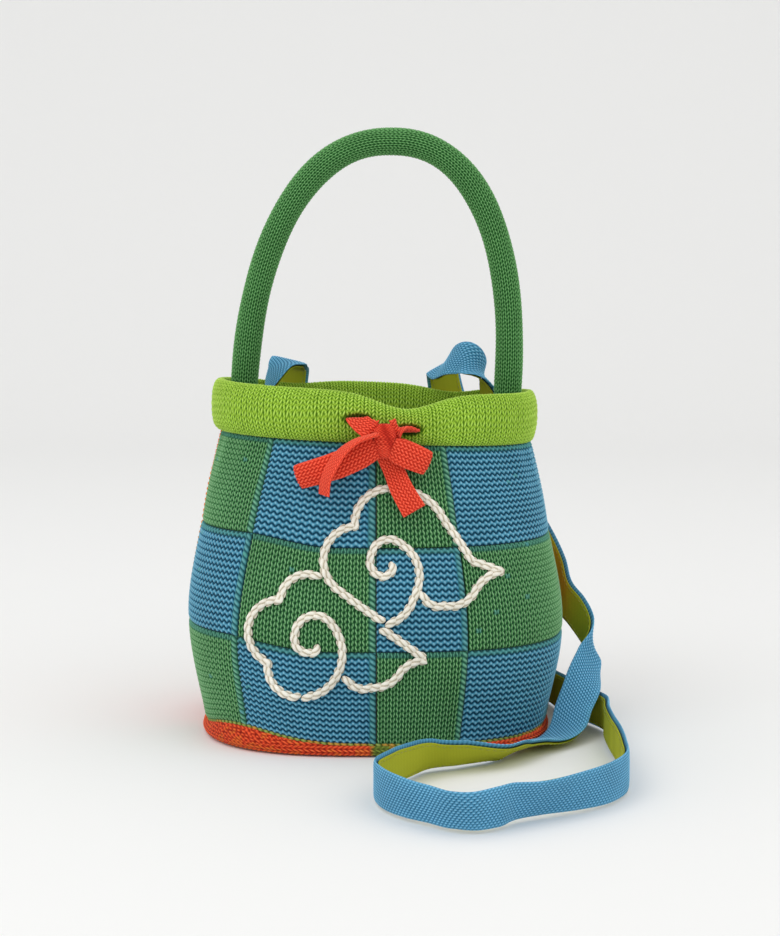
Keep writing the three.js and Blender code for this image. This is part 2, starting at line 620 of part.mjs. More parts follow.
// The strap's route: the anchor, the centre's offset from it, and the direction across the strap.
// A station with no height of its own rests on the floor.
const STRAP_ROUTE = [
  ['mouthRight', [-17.8, 31.9, -31], [-0.66, 0.75, 0]],
  ['mouthRight', [-18.6, 27.5, -16], [-0.62, 0.72, 0.2]],
  ['mouthRight', [-22.5, 22, -3], [-0.5, 0.62, 0.6]],
  ['mouthRight', [-29, 22, 8], [-0.25, 0.55, 0.8]],
  ['mouthRight', [-35.5, 25, 13], [0, 0.52, 0.85]],
  ['mouthRight', [-43, 33, 12], [0.22, 0.62, 0.75]],
  ['backRimRight', [-47.5, -17, 7.5], [0.45, 0.7, 0.55]],
  ['backRimRight', [-48, 0, 5.5], [0.85, 0.35, 0.3]],
  ['backRimRight', [-44, 15, -13], [0.95, 0.12, 0.25]],
  ['backRimRight', [-35, 19, -36], [0.93, 0, 0.36]],
  ['backRight', [-39, -6, 72], [0.8, 0, 0.6]],
  ['backRight', [-17.5, -27, 52], [0.62, -0.25, 0.74]],
  ['sideRight', [2, 39.5, 20], [0.3, -0.25, 0.92]],
  ['sideRight', [5, 22, 8], [0.35, -0.3, 0.87]],
  ['sideRight', [11, 11, 1], [0.33, -0.25, 0.9]],
  ['sideRight', [16, -1, -7], [0.15, -0.15, 0.97]],
  ['floorRight', [18, -10, 45], [-0.25, -0.2, 0.95]],
  ['floorRight', [15.5, -17, 37], [-0.55, -0.1, 0.83]],
  ['floorRight', [10.5, -32.5, 26], [-0.88, 0.25, 0.4]],
  ['floorRight', [5, -43.5, 16.4], [-0.94, 0.33, 0.12]],
  ['floorRight', [1, -54, 8.5], [-0.93, 0.35, -0.05]],
  ['floorRight', [-7, -66], [-0.75, 0.64, -0.12]],
  ['floorFront', [86, 13], [-0.4, 0.88, -0.25]],
  ['floorFront', [76, -2], [-0.2, 0.92, -0.34]],
  ['floorFront', [66, -17], [0, 0.9, -0.44]],
  ['floorFront', [44, -30], [0, 0.69, -0.72]],
  ['floorFront', [28, -37], [0, 0.58, -0.81]],
  ['floorFront', [16.5, -53], [0, 0.43, -0.9]],
  ['floorFront', [8.5, -68], [0, 0.31, -0.95]],
  ['floorFront', [1, -88], [0, 0.3, -0.95]],
  ['floorFront', [4.8, -108], [0, 0.15, -0.99]],
  ['floorFront', [15, -125], [0, 0.25, -0.97]],
  ['floorFront', [25.5, -135.5], [0, 0.35, -0.94]],
  ['floorFront', [36.5, -146], [0, 0.38, -0.92]],
  ['floorFront', [46, -149], [0, 0.3, -0.95]],
  ['floorFront', [59, -141], [0, 0.2, -0.98]],
  ['floorFront', [67, -132], [0, 0.37, -0.93]],
  ['floorFront', [80, -124], [0, 0.47, -0.88]],
  ['floorFront', [99.5, -112], [0, 0.3, -0.95]],
  ['floorFront', [115, -97], [0, 0.1, -1]],
  ['floorFront', [125.5, -75], [0, 0, -1]],
  ['floorRight', [23, -140], [0, 0, -1]],
  ['floorRight', [23.5, -112], [0, 0, -1]],
  ['floorRight', [22.5, -84], [0, 0, -1]],
  ['floorRight', [22.5, -58], [0, 0, -1]],
  ['floorRight', [23.8, -38], [0, 0, -1]],
  ['floorRight', [17.5, -18], [0, 0, -1]],
  ['floorRight', [7.5, 4], [-0.1, 0, -1]],
  ['floorRight', [2, 24], [-0.1, 0, -1]],
  ['floorRight', [-4, 44], [0, 0, -1]],
  ['floorRight', [-24, 73.5], [0, 0, -1]],
  ['floorBack', [50, 5, 12], [-0.2, 0, -0.98]],
  ['floorBack', [20, 12, 24], [-0.5, 0, -0.87]],
  ['floorBack', [-7, 12, 46], [-0.8, 0, -0.6]],
  ['back', [57, 8, 14], [-0.9, 0, -0.42]],
  ['back', [46, -2, 56], [-0.97, 0, -0.22]],
  ['backRimLeft', [37, 18, -36], [-1, 0, -0.1]],
  ['backRimLeft', [35, 11, -8], [-1, 0.1, 0.05]],
  ['backRimLeft', [36.5, -1, 5], [-0.98, 0.15, 0.1]],
  ['backRimLeft', [36.5, -17, 8], [-0.97, 0.2, 0.1]],
  ['mouthLeft', [36, 30, 11.5], [-0.9, 0.35, 0.2]],
  ['mouthLeft', [31.5, 22, 8.5], [-0.62, 0.78, 0]],
  ['mouthLeft', [25, 20, -2], [-0.2, 0.97, 0.19]],
  ['mouthLeft', [18.2, 25.5, -16], [0.3, 0.95, 0.16]],
  ['mouthLeft', [15, 26.1, -33], [0.5, 0.866, 0]],
];

function strapCentre([anchor, [x, y, z], across]) {
  const lean = Math.abs(across[2]) / Math.hypot(...across);
  const flat = Math.sqrt(1 - lean ** 2) * (STRAP_FACE / 2 + STRAP_SEAM_GAP + STRAP_LINING);
  const resting = (STRAP_WIDTH / 2) * lean + flat + FLOOR_CLEARANCE;
  return ANCHORS[anchor].clone().add(vec(x, y, z ?? resting));
}

const strapStations = stationsThrough(
  STRAP_ROUTE.map(strapCentre),
  STRAP_ROUTE.map(([, , across]) => vec(...across).normalize()),
  STRAP_STEPS,
);
const strapLiningOffset = -(STRAP_FACE + STRAP_LINING) / 2 - STRAP_SEAM_GAP;
addPiece('strap_face', ribbon(strapStations, STRAP_WIDTH, STRAP_FACE), COLOURS.strap);
const strapLining = ribbon(strapStations, STRAP_LINING_WIDTH, STRAP_LINING, strapLiningOffset);
addPiece('strap_lining', strapLining, COLOURS.olive);

// Points of an arc between two places of the front, standing out by a height to the left of its way.
function arcBetween([x0, z0], [x1, z1], bulge) {
  const chord = Math.hypot(x1 - x0, z1 - z0);
  const steps = Math.max(3, Math.round(chord / 5));
  const half = 2 * Math.atan((2 * bulge) / chord);
  return range(steps).map((step) => {
    const share = step / steps;
    const turn = half * (2 * share - 1);
    const along = 0.5 + 0.5 * (Math.sin(turn) / Math.sin(half));
    const out = ((Math.cos(turn) - Math.cos(half)) / (1 - Math.cos(half))) * bulge;
    const side = [-(z1 - z0) / chord, (x1 - x0) / chord];
    return [x0 + (x1 - x0) * along + side[0] * out, z0 + (z1 - z0) * along + side[1] * out];
  });
}

// A chain of arcs through corners, each corner with the bulge of the arc that leaves it.
function outlinePoints(corners) {
  const arcs = corners.slice(1).flatMap(([x, z], at) => arcBetween(corners[at], [x, z], corners[at][2]));
  const [x, z] = corners[corners.length - 1];
  return [...arcs, [x, z]];
}

function addYarn(name, points) {
  const lift = YARN_DIAMETER / 2 + GAP;
  const centres = points.map(([x, z]) => frontPoint(x, z, lift));
  const outs = points.map(([x, z], at) => frontPoint(x, z, lift + 1).sub(centres[at]));
  const rings = centres.map((centre, at) => {
    const next = centres[Math.min(at + 1, centres.length - 1)];
    const before = centres[Math.max(at - 1, 0)];
    const tangent = next.clone().sub(before).normalize();
    const side = tangent.clone().cross(outs[at]).normalize();
    return range(YARN_SIDES).map((step) => {
      const angle = (step / YARN_SIDES) * 2 * Math.PI;
      return centre.clone()
        .addScaledVector(side, (YARN_DIAMETER / 2) * Math.cos(angle))
        .addScaledVector(outs[at], (YARN_DIAMETER / 2) * Math.sin(angle));
    });
  });
  addPiece(name, loft(rings), COLOURS.cream, 0.8);
}

Object.entries(CLOUD_LINES).forEach(([name, corners]) => addYarn(name, outlinePoints(corners)));

export default bag;
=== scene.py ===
"""A knitted patchwork bucket bag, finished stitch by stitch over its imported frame."""
import json
import math

import bpy
import numpy as np
from bpy.props import FloatProperty, FloatVectorProperty, PointerProperty
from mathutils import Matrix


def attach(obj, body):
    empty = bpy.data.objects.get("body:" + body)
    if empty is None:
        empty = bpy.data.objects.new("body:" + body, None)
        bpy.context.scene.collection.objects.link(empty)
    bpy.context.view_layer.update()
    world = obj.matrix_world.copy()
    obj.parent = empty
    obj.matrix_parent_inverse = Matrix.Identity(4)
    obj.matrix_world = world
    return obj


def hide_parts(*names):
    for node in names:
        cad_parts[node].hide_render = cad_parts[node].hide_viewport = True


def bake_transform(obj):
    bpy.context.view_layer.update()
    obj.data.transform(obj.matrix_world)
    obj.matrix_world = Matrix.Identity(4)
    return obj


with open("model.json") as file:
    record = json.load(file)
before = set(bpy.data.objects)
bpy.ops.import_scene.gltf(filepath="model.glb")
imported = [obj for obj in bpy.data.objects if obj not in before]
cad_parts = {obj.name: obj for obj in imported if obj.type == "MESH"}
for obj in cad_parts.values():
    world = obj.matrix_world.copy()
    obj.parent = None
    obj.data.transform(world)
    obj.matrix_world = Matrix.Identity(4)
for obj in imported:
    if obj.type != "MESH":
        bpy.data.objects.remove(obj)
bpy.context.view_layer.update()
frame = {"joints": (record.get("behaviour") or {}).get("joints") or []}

bl_info = {
    "name": "Knitted mini bag",
    "version": (1, 0, 0),
    "blender": (4, 5, 0),
    "location": "3D View > Sidebar > Knitted bag",
    "description": "Builds the knitted surfaces of a patchwork mini bag over its frame",
    "category": "Object",
}

MM = 0.001
TAU = 2 * math.pi


def length(name, default, description):
    """A length property in metres."""
    return FloatProperty(name=name, default=default, description=description, unit="LENGTH", precision=5)


def number(name, default, description, **kind):
    """A plain number property, or one with a unit or a subtype."""
    return FloatProperty(name=name, default=default, description=description, **kind)


def colour(name, default, description):
    """A colour property."""
    return FloatVectorProperty(
        name=name, default=default, description=description, subtype="COLOR", size=3, min=0, max=1
    )


class BagSizes(bpy.types.PropertyGroup):
    """Sizes of the bag that its knitted surfaces follow."""

    band_height: length("Band height", 0.007, "Level of the foot, above the base band")
    lower_row: length("Lower row", 0.050, "Height of the lowest row of squares")
    middle_row: length("Middle row", 0.054, "Height of the middle row of squares")
    upper_row: length("Upper row", 0.0545, "Height of the highest row of squares")
    foot_half_width: length("Foot half width", 0.096, "Half width at the base seam")
    foot_half_depth: length("Foot half depth", 0.091, "Half depth at the base seam")
    foot_power: number("Foot power", 2.9, "Superellipse power at the base seam")
    belly_height: length("Belly height", 0.060, "Height of the widest level")
    belly_half_width: length("Belly half width", 0.105, "Half width at the widest level")
    belly_half_depth: length("Belly half depth", 0.093, "Half depth at the widest level")
    belly_power: number("Belly power", 2.7, "Superellipse power at the widest level")
    shoulder_height: length("Shoulder height", 0.121, "Height of the shoulder")
    shoulder_half_width: length("Shoulder half width", 0.096, "Half width at the shoulder")
    shoulder_half_depth: length("Shoulder half depth", 0.077, "Half depth at the shoulder")
    shoulder_power: number("Shoulder power", 2.4, "Superellipse power at the shoulder")
    mouth_half_width: length("Mouth half width", 0.087, "Half width under the rim")
    mouth_half_depth: length("Mouth half depth", 0.062, "Half depth under the rim")
    mouth_power: number("Mouth power", 2.3, "Superellipse power under the rim")
    mouth_tilt: number("Mouth tilt", 0.04, "Drop of the mouth for each unit to the right")
    left_lift: length("Left lift", 0.0065, "How much higher the left side hangs")
    corner_lift: length("Corner lift", 0.0075, "How far the left front foot is drawn up")
    bottom_corner: length("Bottom corner", 0.005, "Rounding of the base")
    band_bulge: length("Band bulge", 0.0025, "Bulge of the base's side beyond the foot")
    handle_half_span: length("Handle half span", 0.0747, "Half the distance between the handle's ends")
    handle_rise: length("Handle rise", 0.1385, "Height of the handle's middle line above its pivot")
    handle_lean: length("Handle lean", 0.0085, "How far the handle's top leans to the right")
    handle_radius: length("Handle radius", 0.0077, "Radius of the handle")
    tie_width: length("Tie width", 0.012, "Width of the drawstring")
    tie_thickness: length("Tie thickness", 0.002, "Thickness of the drawstring")
    strap_width: length("Strap width", 0.021, "Width of the shoulder strap")
    wall: length("Knit thickness", 0.0024, "Thickness of the knitted wall")
    stitch_width: length("Stitch width", 0.0036, "Width of a stitch of the body and the rim")
    stitch_height: length("Stitch height", 0.00295, "Height of a stocking stitch of the body")
    purl_height: length("Purl height", 0.0031, "Height of a purl stitch of the body")
    stitch_relief: length("Stitch relief", 0.0011, "How far a stitch of the body stands up")
    fine_width: length("Fine stitch width", 0.0029, "Width of a stitch of the handle, strap and tie")
    fine_height: length("Fine stitch height", 0.0023, "Height of a stitch of the rim, handle, strap and tie")


class BagColours(bpy.types.PropertyGroup):
    """Yarn colours of the bag."""

    green: colour("Green", (0.092, 0.300, 0.100), "Green body yarn")
    blue: colour("Blue", (0.062, 0.275, 0.425), "Blue body yarn")
    red: colour("Red", (0.74, 0.065, 0.022), "Red body yarn")
    orange: colour("Orange", (0.80, 0.25, 0.03), "Orange plating yarn")
    lime: colour("Lime", (0.37, 0.62, 0.052), "Yarn of the rim")
    tie: colour("Tie red", (0.88, 0.072, 0.034), "Yarn of the drawstring")
    handle: colour("Handle green", (0.092, 0.31, 0.080), "Yarn of the handle")
    strap: colour("Strap blue", (0.125, 0.42, 0.66), "Yarn of the strap")
    olive: colour("Olive", (0.42, 0.45, 0.028), "Woven lining of the strap")
    cream: colour("Cream", (0.80, 0.75, 0.64), "Embroidery yarn")


class BagStage(bpy.types.PropertyGroup):
    """Camera and light."""

    camera_height: length("Camera height", 0.274, "Height of the camera")
    camera_distance: length("Camera distance", 1.2, "Distance of the camera in front of the bag")
    camera_side: length("Camera side", 0.008, "Place of the camera across")
    camera_tilt: number("Camera tilt", math.radians(6.11), "How far the camera looks down", subtype="ANGLE")
    focal_pixels: number("Focal length", 2120, "Focal length in picture pixels", subtype="PIXEL")
    picture_height: number("Picture height", 936, "Height of the picture in pixels", subtype="PIXEL")
    key_power: number("Key light", 6, "Power of the main light", unit="POWER")
    sky: number("Sky", 1.04, "Strength of the light from all round")
    pale: colour("Floor", (0.87, 0.87, 0.865), "Colour of the floor and the backdrop")


def sizes():
    """The bag's sizes."""
    return bpy.context.scene.bag_sizes


def colours():
    """The bag's colours."""
    return bpy.context.scene.bag_colours


# Frame


def row_levels():
    """Levels of the rows' edges, from the foot up."""
    s = sizes()
    return s.band_height + np.cumsum([0, s.lower_row, s.middle_row, s.upper_row])


# Compass angles of the columns' edges from the front centre, at the foot and at the mouth.
FRONT_COLUMNS = (np.array([-84, -42, 0.5, 27.7, 96]), np.array([-84, -47, 0.5, 33.5, 96]))
BACK_COLUMNS = (np.array([96, 141, 186, 231, 276]), np.array([96, 141, 186, 231, 276]))
SEAM_ANGLES = {"side_seam_left": -84, "side_seam_right": 96}
# Compass angles to the left between which the left side's lift rises, holds and fades.
LIFT_ANGLES = np.radians([16, 50, 105, 150])
# Where the foot is drawn up, and how far to each side of there.
CORNER_ANGLE, CORNER_REACH = np.radians([-46, 19])


# Shapes


def super_radius(half_width, half_depth, angle, power):
    """Radius of a superellipse: the power mean of sine over half width and cosine over half depth."""
    side = np.abs(np.sin(angle) / half_width) ** power
    front = np.abs(np.cos(angle) / half_depth) ** power
    return (side + front) ** (-1 / power)


def cubic(start, end, leave, arrive, share):
    """The cubic from a start to an end with these slopes: Hermite's form in powers of the share."""
    rise = end - start
    return (start + leave * share + (3 * rise - 2 * leave - arrive) * share**2
            + (leave + arrive - 2 * rise) * share**3)


def profile(z, stations, values):
    """Cubics through the stations: a station's slope is the mean of those of the chords beside it."""
    z = np.clip(z, stations[0], stations[-1])
    low = np.clip(np.searchsorted(stations, z, side="right") - 1, 0, len(stations) - 2)
    span = stations[low + 1] - stations[low]
    slopes = np.diff(values) / np.diff(stations)
    slopes = np.concatenate([slopes[:1], (slopes[1:] + slopes[:-1]) / 2, slopes[-1:]])
    return cubic(values[low], values[low + 1], slopes[low] * span, slopes[low + 1] * span,
                 (z - stations[low]) / span)


def body_shape(z):
    """Half width, half depth and superellipse power of the outside at a level."""
    s = sizes()
    levels = row_levels()
    stations = np.array([levels[0], s.belly_height, s.shoulder_height, levels[-1]])
    places = ("foot", "belly", "shoulder", "mouth")
    return [profile(z, stations, np.array([getattr(s, f"{place}_{part}") for place in places]))
            for part in ("half_width", "half_depth", "power")]


def ease(value, low, high):
    """A smooth rise from 0 at low to 1 at high: three squares less two cubes of the share."""
    share = np.clip((value - low) / (high - low), 0, 1)
    return share * share * (3 - 2 * share)


def foot_lift(angle):
    """How much higher than level the foot hangs: a bell round its drawn-up corner."""
    turn = (angle + math.pi) % TAU - math.pi
    return sizes().corner_lift * np.exp(-(((turn - CORNER_ANGLE) / CORNER_REACH) ** 2))


def body_lift(angle, x, z):
    """How much higher than level the body hangs: the foot's lift, the left side's and the mouth's tilt."""
    s = sizes()
    left = -((angle + math.pi) % TAU - math.pi)
    start, full, fade, end = LIFT_ANGLES
    side = s.left_lift * ease(left, start, full) * (1 - ease(left, fade, end))
    foot, first, second, top = row_levels()
    low = foot_lift(angle)
    low = low + (side - low) * ease(z, foot, first)
    return low + (-s.mouth_tilt * x - low) * ease(z, second, top)


def wall_point(angle, z, inset):
    """A point of the wall: the superellipse of its level, drawn in by the inset, at a compass angle."""
    half_width, half_depth, power = body_shape(z)
    radius = super_radius(half_width - inset, half_depth - inset, angle, power)
    x = radius * np.sin(angle)
    return np.stack([x, -radius * np.cos(angle), z + body_lift(angle, x, z)], axis=-1)


SLOW_WAVES = 0.5 * MM
GATHERS = 0.45 * MM


def wall_folds(angle, z):
    """Soft unevenness of the wall: slow waves all over and gathers that fade in under the rim."""
    levels = row_levels()
    slow = np.sin(5 * angle + 31 * z + 0.6) * np.sin(3 * angle - 47 * z + 1.9)
    gathers = np.sin(31 * angle + 2.2 * np.sin(4 * angle)) * ease(z, levels[2] + 0.01, levels[3])
    ends = ease(z, levels[0], levels[0] + 0.012) * (1 - 0.5 * ease(z, levels[3] - 0.006, levels[3]))
    return (SLOW_WAVES * slow + GATHERS * gathers) * ends


def front_point(x, z, lift):
    """The front wall at a place across and a height, pushed out along its normal by the lift."""
    def at(px, pz):
        def depth(level):
            half_width, half_depth, power = body_shape(level)
            return half_depth * (1 - np.abs(px / half_width) ** power) ** (1 / power)
        angle = np.arctan2(px, depth(pz))
        return np.stack([px, -depth(pz - body_lift(angle, px, pz)), pz], axis=-1)
    step = 0.0005
    across = at(x + step, z) - at(x - step, z)
    up = at(x, z + step) - at(x, z - step)
    out = unit(np.cross(across, up))
    base = at(x, z)
    folds = wall_folds(np.arctan2(x, -base[..., 1]), z)
    return base + out * (np.asarray(lift) + folds)[..., None], out


def unit(vectors):
    """Vectors scaled to length one."""
    return vectors / np.maximum(np.linalg.norm(vectors, axis=-1, keepdims=True), 1e-12)


def out_from_axis(points):
    """Level directions from the bag's upright middle line to points."""
    return unit(points * np.array([1, 1, 0]))


def round_angles(count):
    """Even angles once round."""
    return np.linspace(0, TAU, count, endpoint=False)


def signed_power(value, power):
    """The size of a value raised to a power, with the value's sign."""
    return np.sign(value) * np.abs(value) ** power


def swept(centre, side, up, wide, tall):
    """Rings along a path: for each point of a ring, the centre plus wide times side plus tall times up."""
    return centre[..., None, :] + side[..., None, :] * wide[..., None] + up[..., None, :] * tall[..., None]


def square_across(path, across):
    """Directions across a path with their share along its tangent taken out, and the normals of its face."""
    tangent = unit(np.gradient(path, axis=0))
    across = unit(across - tangent * (across * tangent).sum(1, keepdims=True))
    return across, np.cross(across, tangent)


def grid_normals(points, closed_rows=False, closed_columns=False):
    """Normals of a grid of points, from the cross product of its centred differences."""
    def slope(axis, closed):
        if closed:
            return np.roll(points, -1, axis) - np.roll(points, 1, axis)
        return np.gradient(points, axis=axis)
    return unit(np.cross(slope(0, closed_rows), slope(1, closed_columns)))


def smooth_path(points, count):
    """Centripetal Catmull-Rom curve through points, at count even steps of its parameter."""
    points = np.asarray(points, float)
    ends = np.vstack([2 * points[0] - points[1], points, 2 * points[-1] - points[-2]])
    share = np.linspace(0, len(points) - 1, count)
    at = np.minimum(share.astype(int), len(points) - 2)
    t = (share - at)[:, None]
    p0, p1, p2, p3 = ends[at], ends[at + 1], ends[at + 2], ends[at + 3]
    d0, d1, d2 = (np.sqrt(np.linalg.norm(b - a, axis=1))[:, None] for a, b in ((p0, p1), (p1, p2), (p2, p3)))
    d1 = np.where(d1 < 1e-6, 1, d1)
    d0 = np.where(d0 < 1e-6, d1, d0)
    d2 = np.where(d2 < 1e-6, d1, d2)
    m1 = d1 * ((p1 - p0) / d0 - (p2 - p0) / (d0 + d1) + (p2 - p1) / d1)
    m2 = d1 * ((p2 - p1) / d1 - (p3 - p1) / (d1 + d2) + (p3 - p2) / d2)
    return cubic(p1, p2, m1, m2, t)


def arc_length(points):
    """Distance along a path up to each of its points."""
    return np.concatenate([[0], np.cumsum(np.linalg.norm(np.diff(points, axis=0), axis=1))])


def even_path(points, step, *others):
    """Points along a path at even distances, with other arrays carried along."""
    along = arc_length(points)
    count = max(4, int(round(along[-1] / step)) + 1)
    even = np.linspace(0, along[-1], count)
    carried = [points, *others]
    return [np.stack([np.interp(even, along, a[:, k]) for k in range(a.shape[1])], axis=1) for a in carried]


# Stitches


def stocking_stitch(u, v, rise=1.2, floor=0.0):
    """Height of stocking stitch: steep slanted legs, two to a column, that meet in a V at its middle.

    u counts columns and v rows. A leg's ridge is a raised cosine of v less its rise times the distance
    from the column's middle, and it fades to the floor at the column's middle and edge."""
    side = np.abs(u % 1 - 0.5) * 2
    ridge = 0.5 + 0.5 * np.cos(TAU * (v - rise * side))
    leg = floor + (1 - floor) * np.clip(np.sin(math.pi * side), 0, 1) ** 0.75
    return leg * (0.12 + 0.88 * ridge)


def purl_stitch(u, v):
    """Height of purl stitch: rows of linked crescents with a deep gap under each row.

    A row's line is a cosine wave of u, the ridge across it a narrow raised cosine of v, and its bumps
    are fullest at the crests and hollows of the wave."""
    wave = 0.2 * np.cos(TAU * u)
    across = (v + wave) % 1 - 0.5
    ridge = np.clip(np.cos(math.pi * across / 0.74), 0, 1) ** 0.9
    bump = 0.76 + 0.24 * np.cos(2 * TAU * u)
    return ridge * bump


def stitch_noise(u, v, seed):
    """A steady number from 0 to 1 for each stitch."""
    cell = np.floor(u) * 12.9898 + np.floor(v) * 78.233 + seed * 37.719
    return np.abs(np.sin(cell) * 43758.5453) % 1


# Meshes


NO_TRIANGLES = np.zeros((0, 3), int)


def add_mesh(name, vertices, quads, triangles=NO_TRIANGLES, **attributes):
    """A smooth mesh object from vertex, quad and triangle arrays; each attribute is a number per vertex."""
    mesh = bpy.data.meshes.new(name)
    corners = np.append(quads, triangles).astype(np.int32)
    counts = np.repeat([4, 3], [len(quads), len(triangles)])
    mesh.vertices.add(len(vertices))
    mesh.vertices.foreach_set("co", np.asarray(vertices, np.float32).ravel())
    mesh.loops.add(len(corners))
    mesh.loops.foreach_set("vertex_index", corners)
    mesh.polygons.add(len(counts))
    mesh.polygons.foreach_set("loop_start", (np.cumsum(counts) - counts).astype(np.int32))
    mesh.update(calc_edges=True)
    mesh.polygons.foreach_set("use_smooth", np.ones(len(counts), bool))
    for key, values in attributes.items():
        layer = mesh.attributes.new(key, "FLOAT", "POINT")
        layer.data.foreach_set("value", np.asarray(values, np.float32).ravel())
    if mesh.validate(verbose=False):
        raise RuntimeError(f"{name}: the mesh had faults")
    obj = bpy.data.objects.new(name, mesh)
    bpy.context.scene.collection.objects.link(obj)
    return obj


def turned_outwards(vertices, quads, triangles):
    """The faces, turned round where the volume that they enclose is negative."""
    faces = np.vstack([quads[:, :3], quads[:, [0, 2, 3]], triangles])
    a, b, c = (vertices[faces[:, k]] for k in range(3))
    if (a * np.cross(b, c)).sum() < 0:
        return quads[:, ::-1], triangles[:, ::-1]
    return quads, triangles


def grid_quads(rows, columns, start=0, closed_rows=False, closed_columns=False):
    """Quads of a grid of vertex numbers that may close on itself either way."""
    number = np.arange(rows * columns).reshape(rows, columns) + start
    if closed_rows:
        number = np.vstack([number, number[:1]])
    if closed_columns:
        number = np.hstack([number, number[:, :1]])
    corners = (number[:-1, :-1], number[1:, :-1], number[1:, 1:], number[:-1, 1:])
    return np.stack([c.ravel() for c in corners], axis=1)


def ring_fan(ring, centre):
    """Triangles from a ring of vertex numbers to a centre vertex."""
    return np.stack([ring, np.roll(ring, -1), np.full(len(ring), centre)], axis=1)


def add_tube(name, rings, closed=False, **attributes):
    """A closed solid from a grid of rings: a tube with a fan over each end, or a closed ring."""
    rows, columns = rings.shape[:2]
    vertices = rings.reshape(-1, 3)
    quads = grid_quads(rows, columns, closed_rows=closed, closed_columns=True)
    triangles = NO_TRIANGLES
    values = {key: a.ravel() for key, a in attributes.items()}
    if not closed:
        count = len(vertices)
        vertices = np.vstack([vertices, rings[0].mean(0), rings[-1].mean(0)])
        last = np.arange(columns) + (rows - 1) * columns
        triangles = np.vstack([ring_fan(np.arange(columns)[::-1], count), ring_fan(last, count + 1)])
        values = {key: np.append(a, [a[:columns].mean(), a[-columns:].mean()]) for key, a in values.items()}
    quads, triangles = turned_outwards(vertices, quads, triangles)
    return add_mesh(name, vertices, quads, triangles, **values)


def add_beads(name, rings, tone):
    """Many small closed solids in one mesh: each a grid of rings with a fan over both ends."""
    count, steps, around = rings.shape[:3]
    ends = np.stack([rings[:, 0].mean(1), rings[:, -1].mean(1)], axis=1)
    vertices = np.concatenate([rings.reshape(count, -1, 3), ends], axis=1).reshape(-1, 3)
    # Each bead's two end points take a tone of 0.3: a little painted shade at its ends.
    tones = np.concatenate([tone.reshape(count, -1), np.full((count, 2), 0.3)], axis=1).ravel()
    ring = np.arange(around)
    last = (steps - 1) * around
    caps = np.vstack([ring_fan(ring[::-1], steps * around), ring_fan(ring + last, steps * around + 1)])
    first = (np.arange(count) * (steps * around + 2))[:, None, None]
    quads = (grid_quads(steps, around, closed_columns=True) + first).reshape(-1, 4)
    quads, triangles = turned_outwards(vertices, quads, (caps + first).reshape(-1, 3))
    return add_mesh(name, vertices, quads, triangles, tone=tones)


def border(rows, columns):
    """Vertex numbers round the edge of a grid, in order."""
    number = np.arange(rows * columns).reshape(rows, columns)
    return np.concatenate([number[0, :-1], number[:-1, -1], number[-1, :0:-1], number[:0:-1, 0]])


def add_slab(name, outside, inside, row_step, column_step, **attributes):
    """A closed slab: a fine outer grid, a coarse inner one, and an edge that fans between the two.

    The inner grid has one point for each row_step by column_step of the outer one."""
    rows, columns = outside.shape[:2]
    coarse_rows, coarse_columns = inside.shape[:2]
    start = rows * columns
    vertices = np.vstack([outside.reshape(-1, 3), inside.reshape(-1, 3)])
    quads = np.vstack([grid_quads(rows, columns), grid_quads(coarse_rows, coarse_columns, start)[:, ::-1]])
    fine_edge = border(rows, columns)
    coarse_edge = border(coarse_rows, coarse_columns) + start
    steps = np.tile(np.repeat([column_step, row_step], [coarse_columns - 1, coarse_rows - 1]), 2)
    owner = np.repeat(np.arange(len(coarse_edge)), steps)
    within = np.arange(len(fine_edge)) - np.repeat(np.cumsum(steps) - steps, steps)
    nearer = np.where(within >= np.repeat(steps, steps) / 2, (owner + 1) % len(coarse_edge), owner)
    middle = (np.cumsum(steps) - steps + np.ceil(steps / 2).astype(int)) % len(fine_edge)
    triangles = np.vstack([
        np.stack([fine_edge, np.roll(fine_edge, -1), coarse_edge[nearer]], axis=1),
        np.stack([fine_edge[middle], np.roll(coarse_edge, -1), coarse_edge], axis=1)])
    quads, triangles = turned_outwards(vertices, quads, triangles)
    hidden = np.zeros(coarse_rows * coarse_columns)
    values = {key: np.append(a, hidden) for key, a in attributes.items()}
    return add_mesh(name, vertices, quads, triangles, **values)


# Materials

FIBRE_SCALE = 2600
PATCHY_SCALE = 60
MATT = 0.9


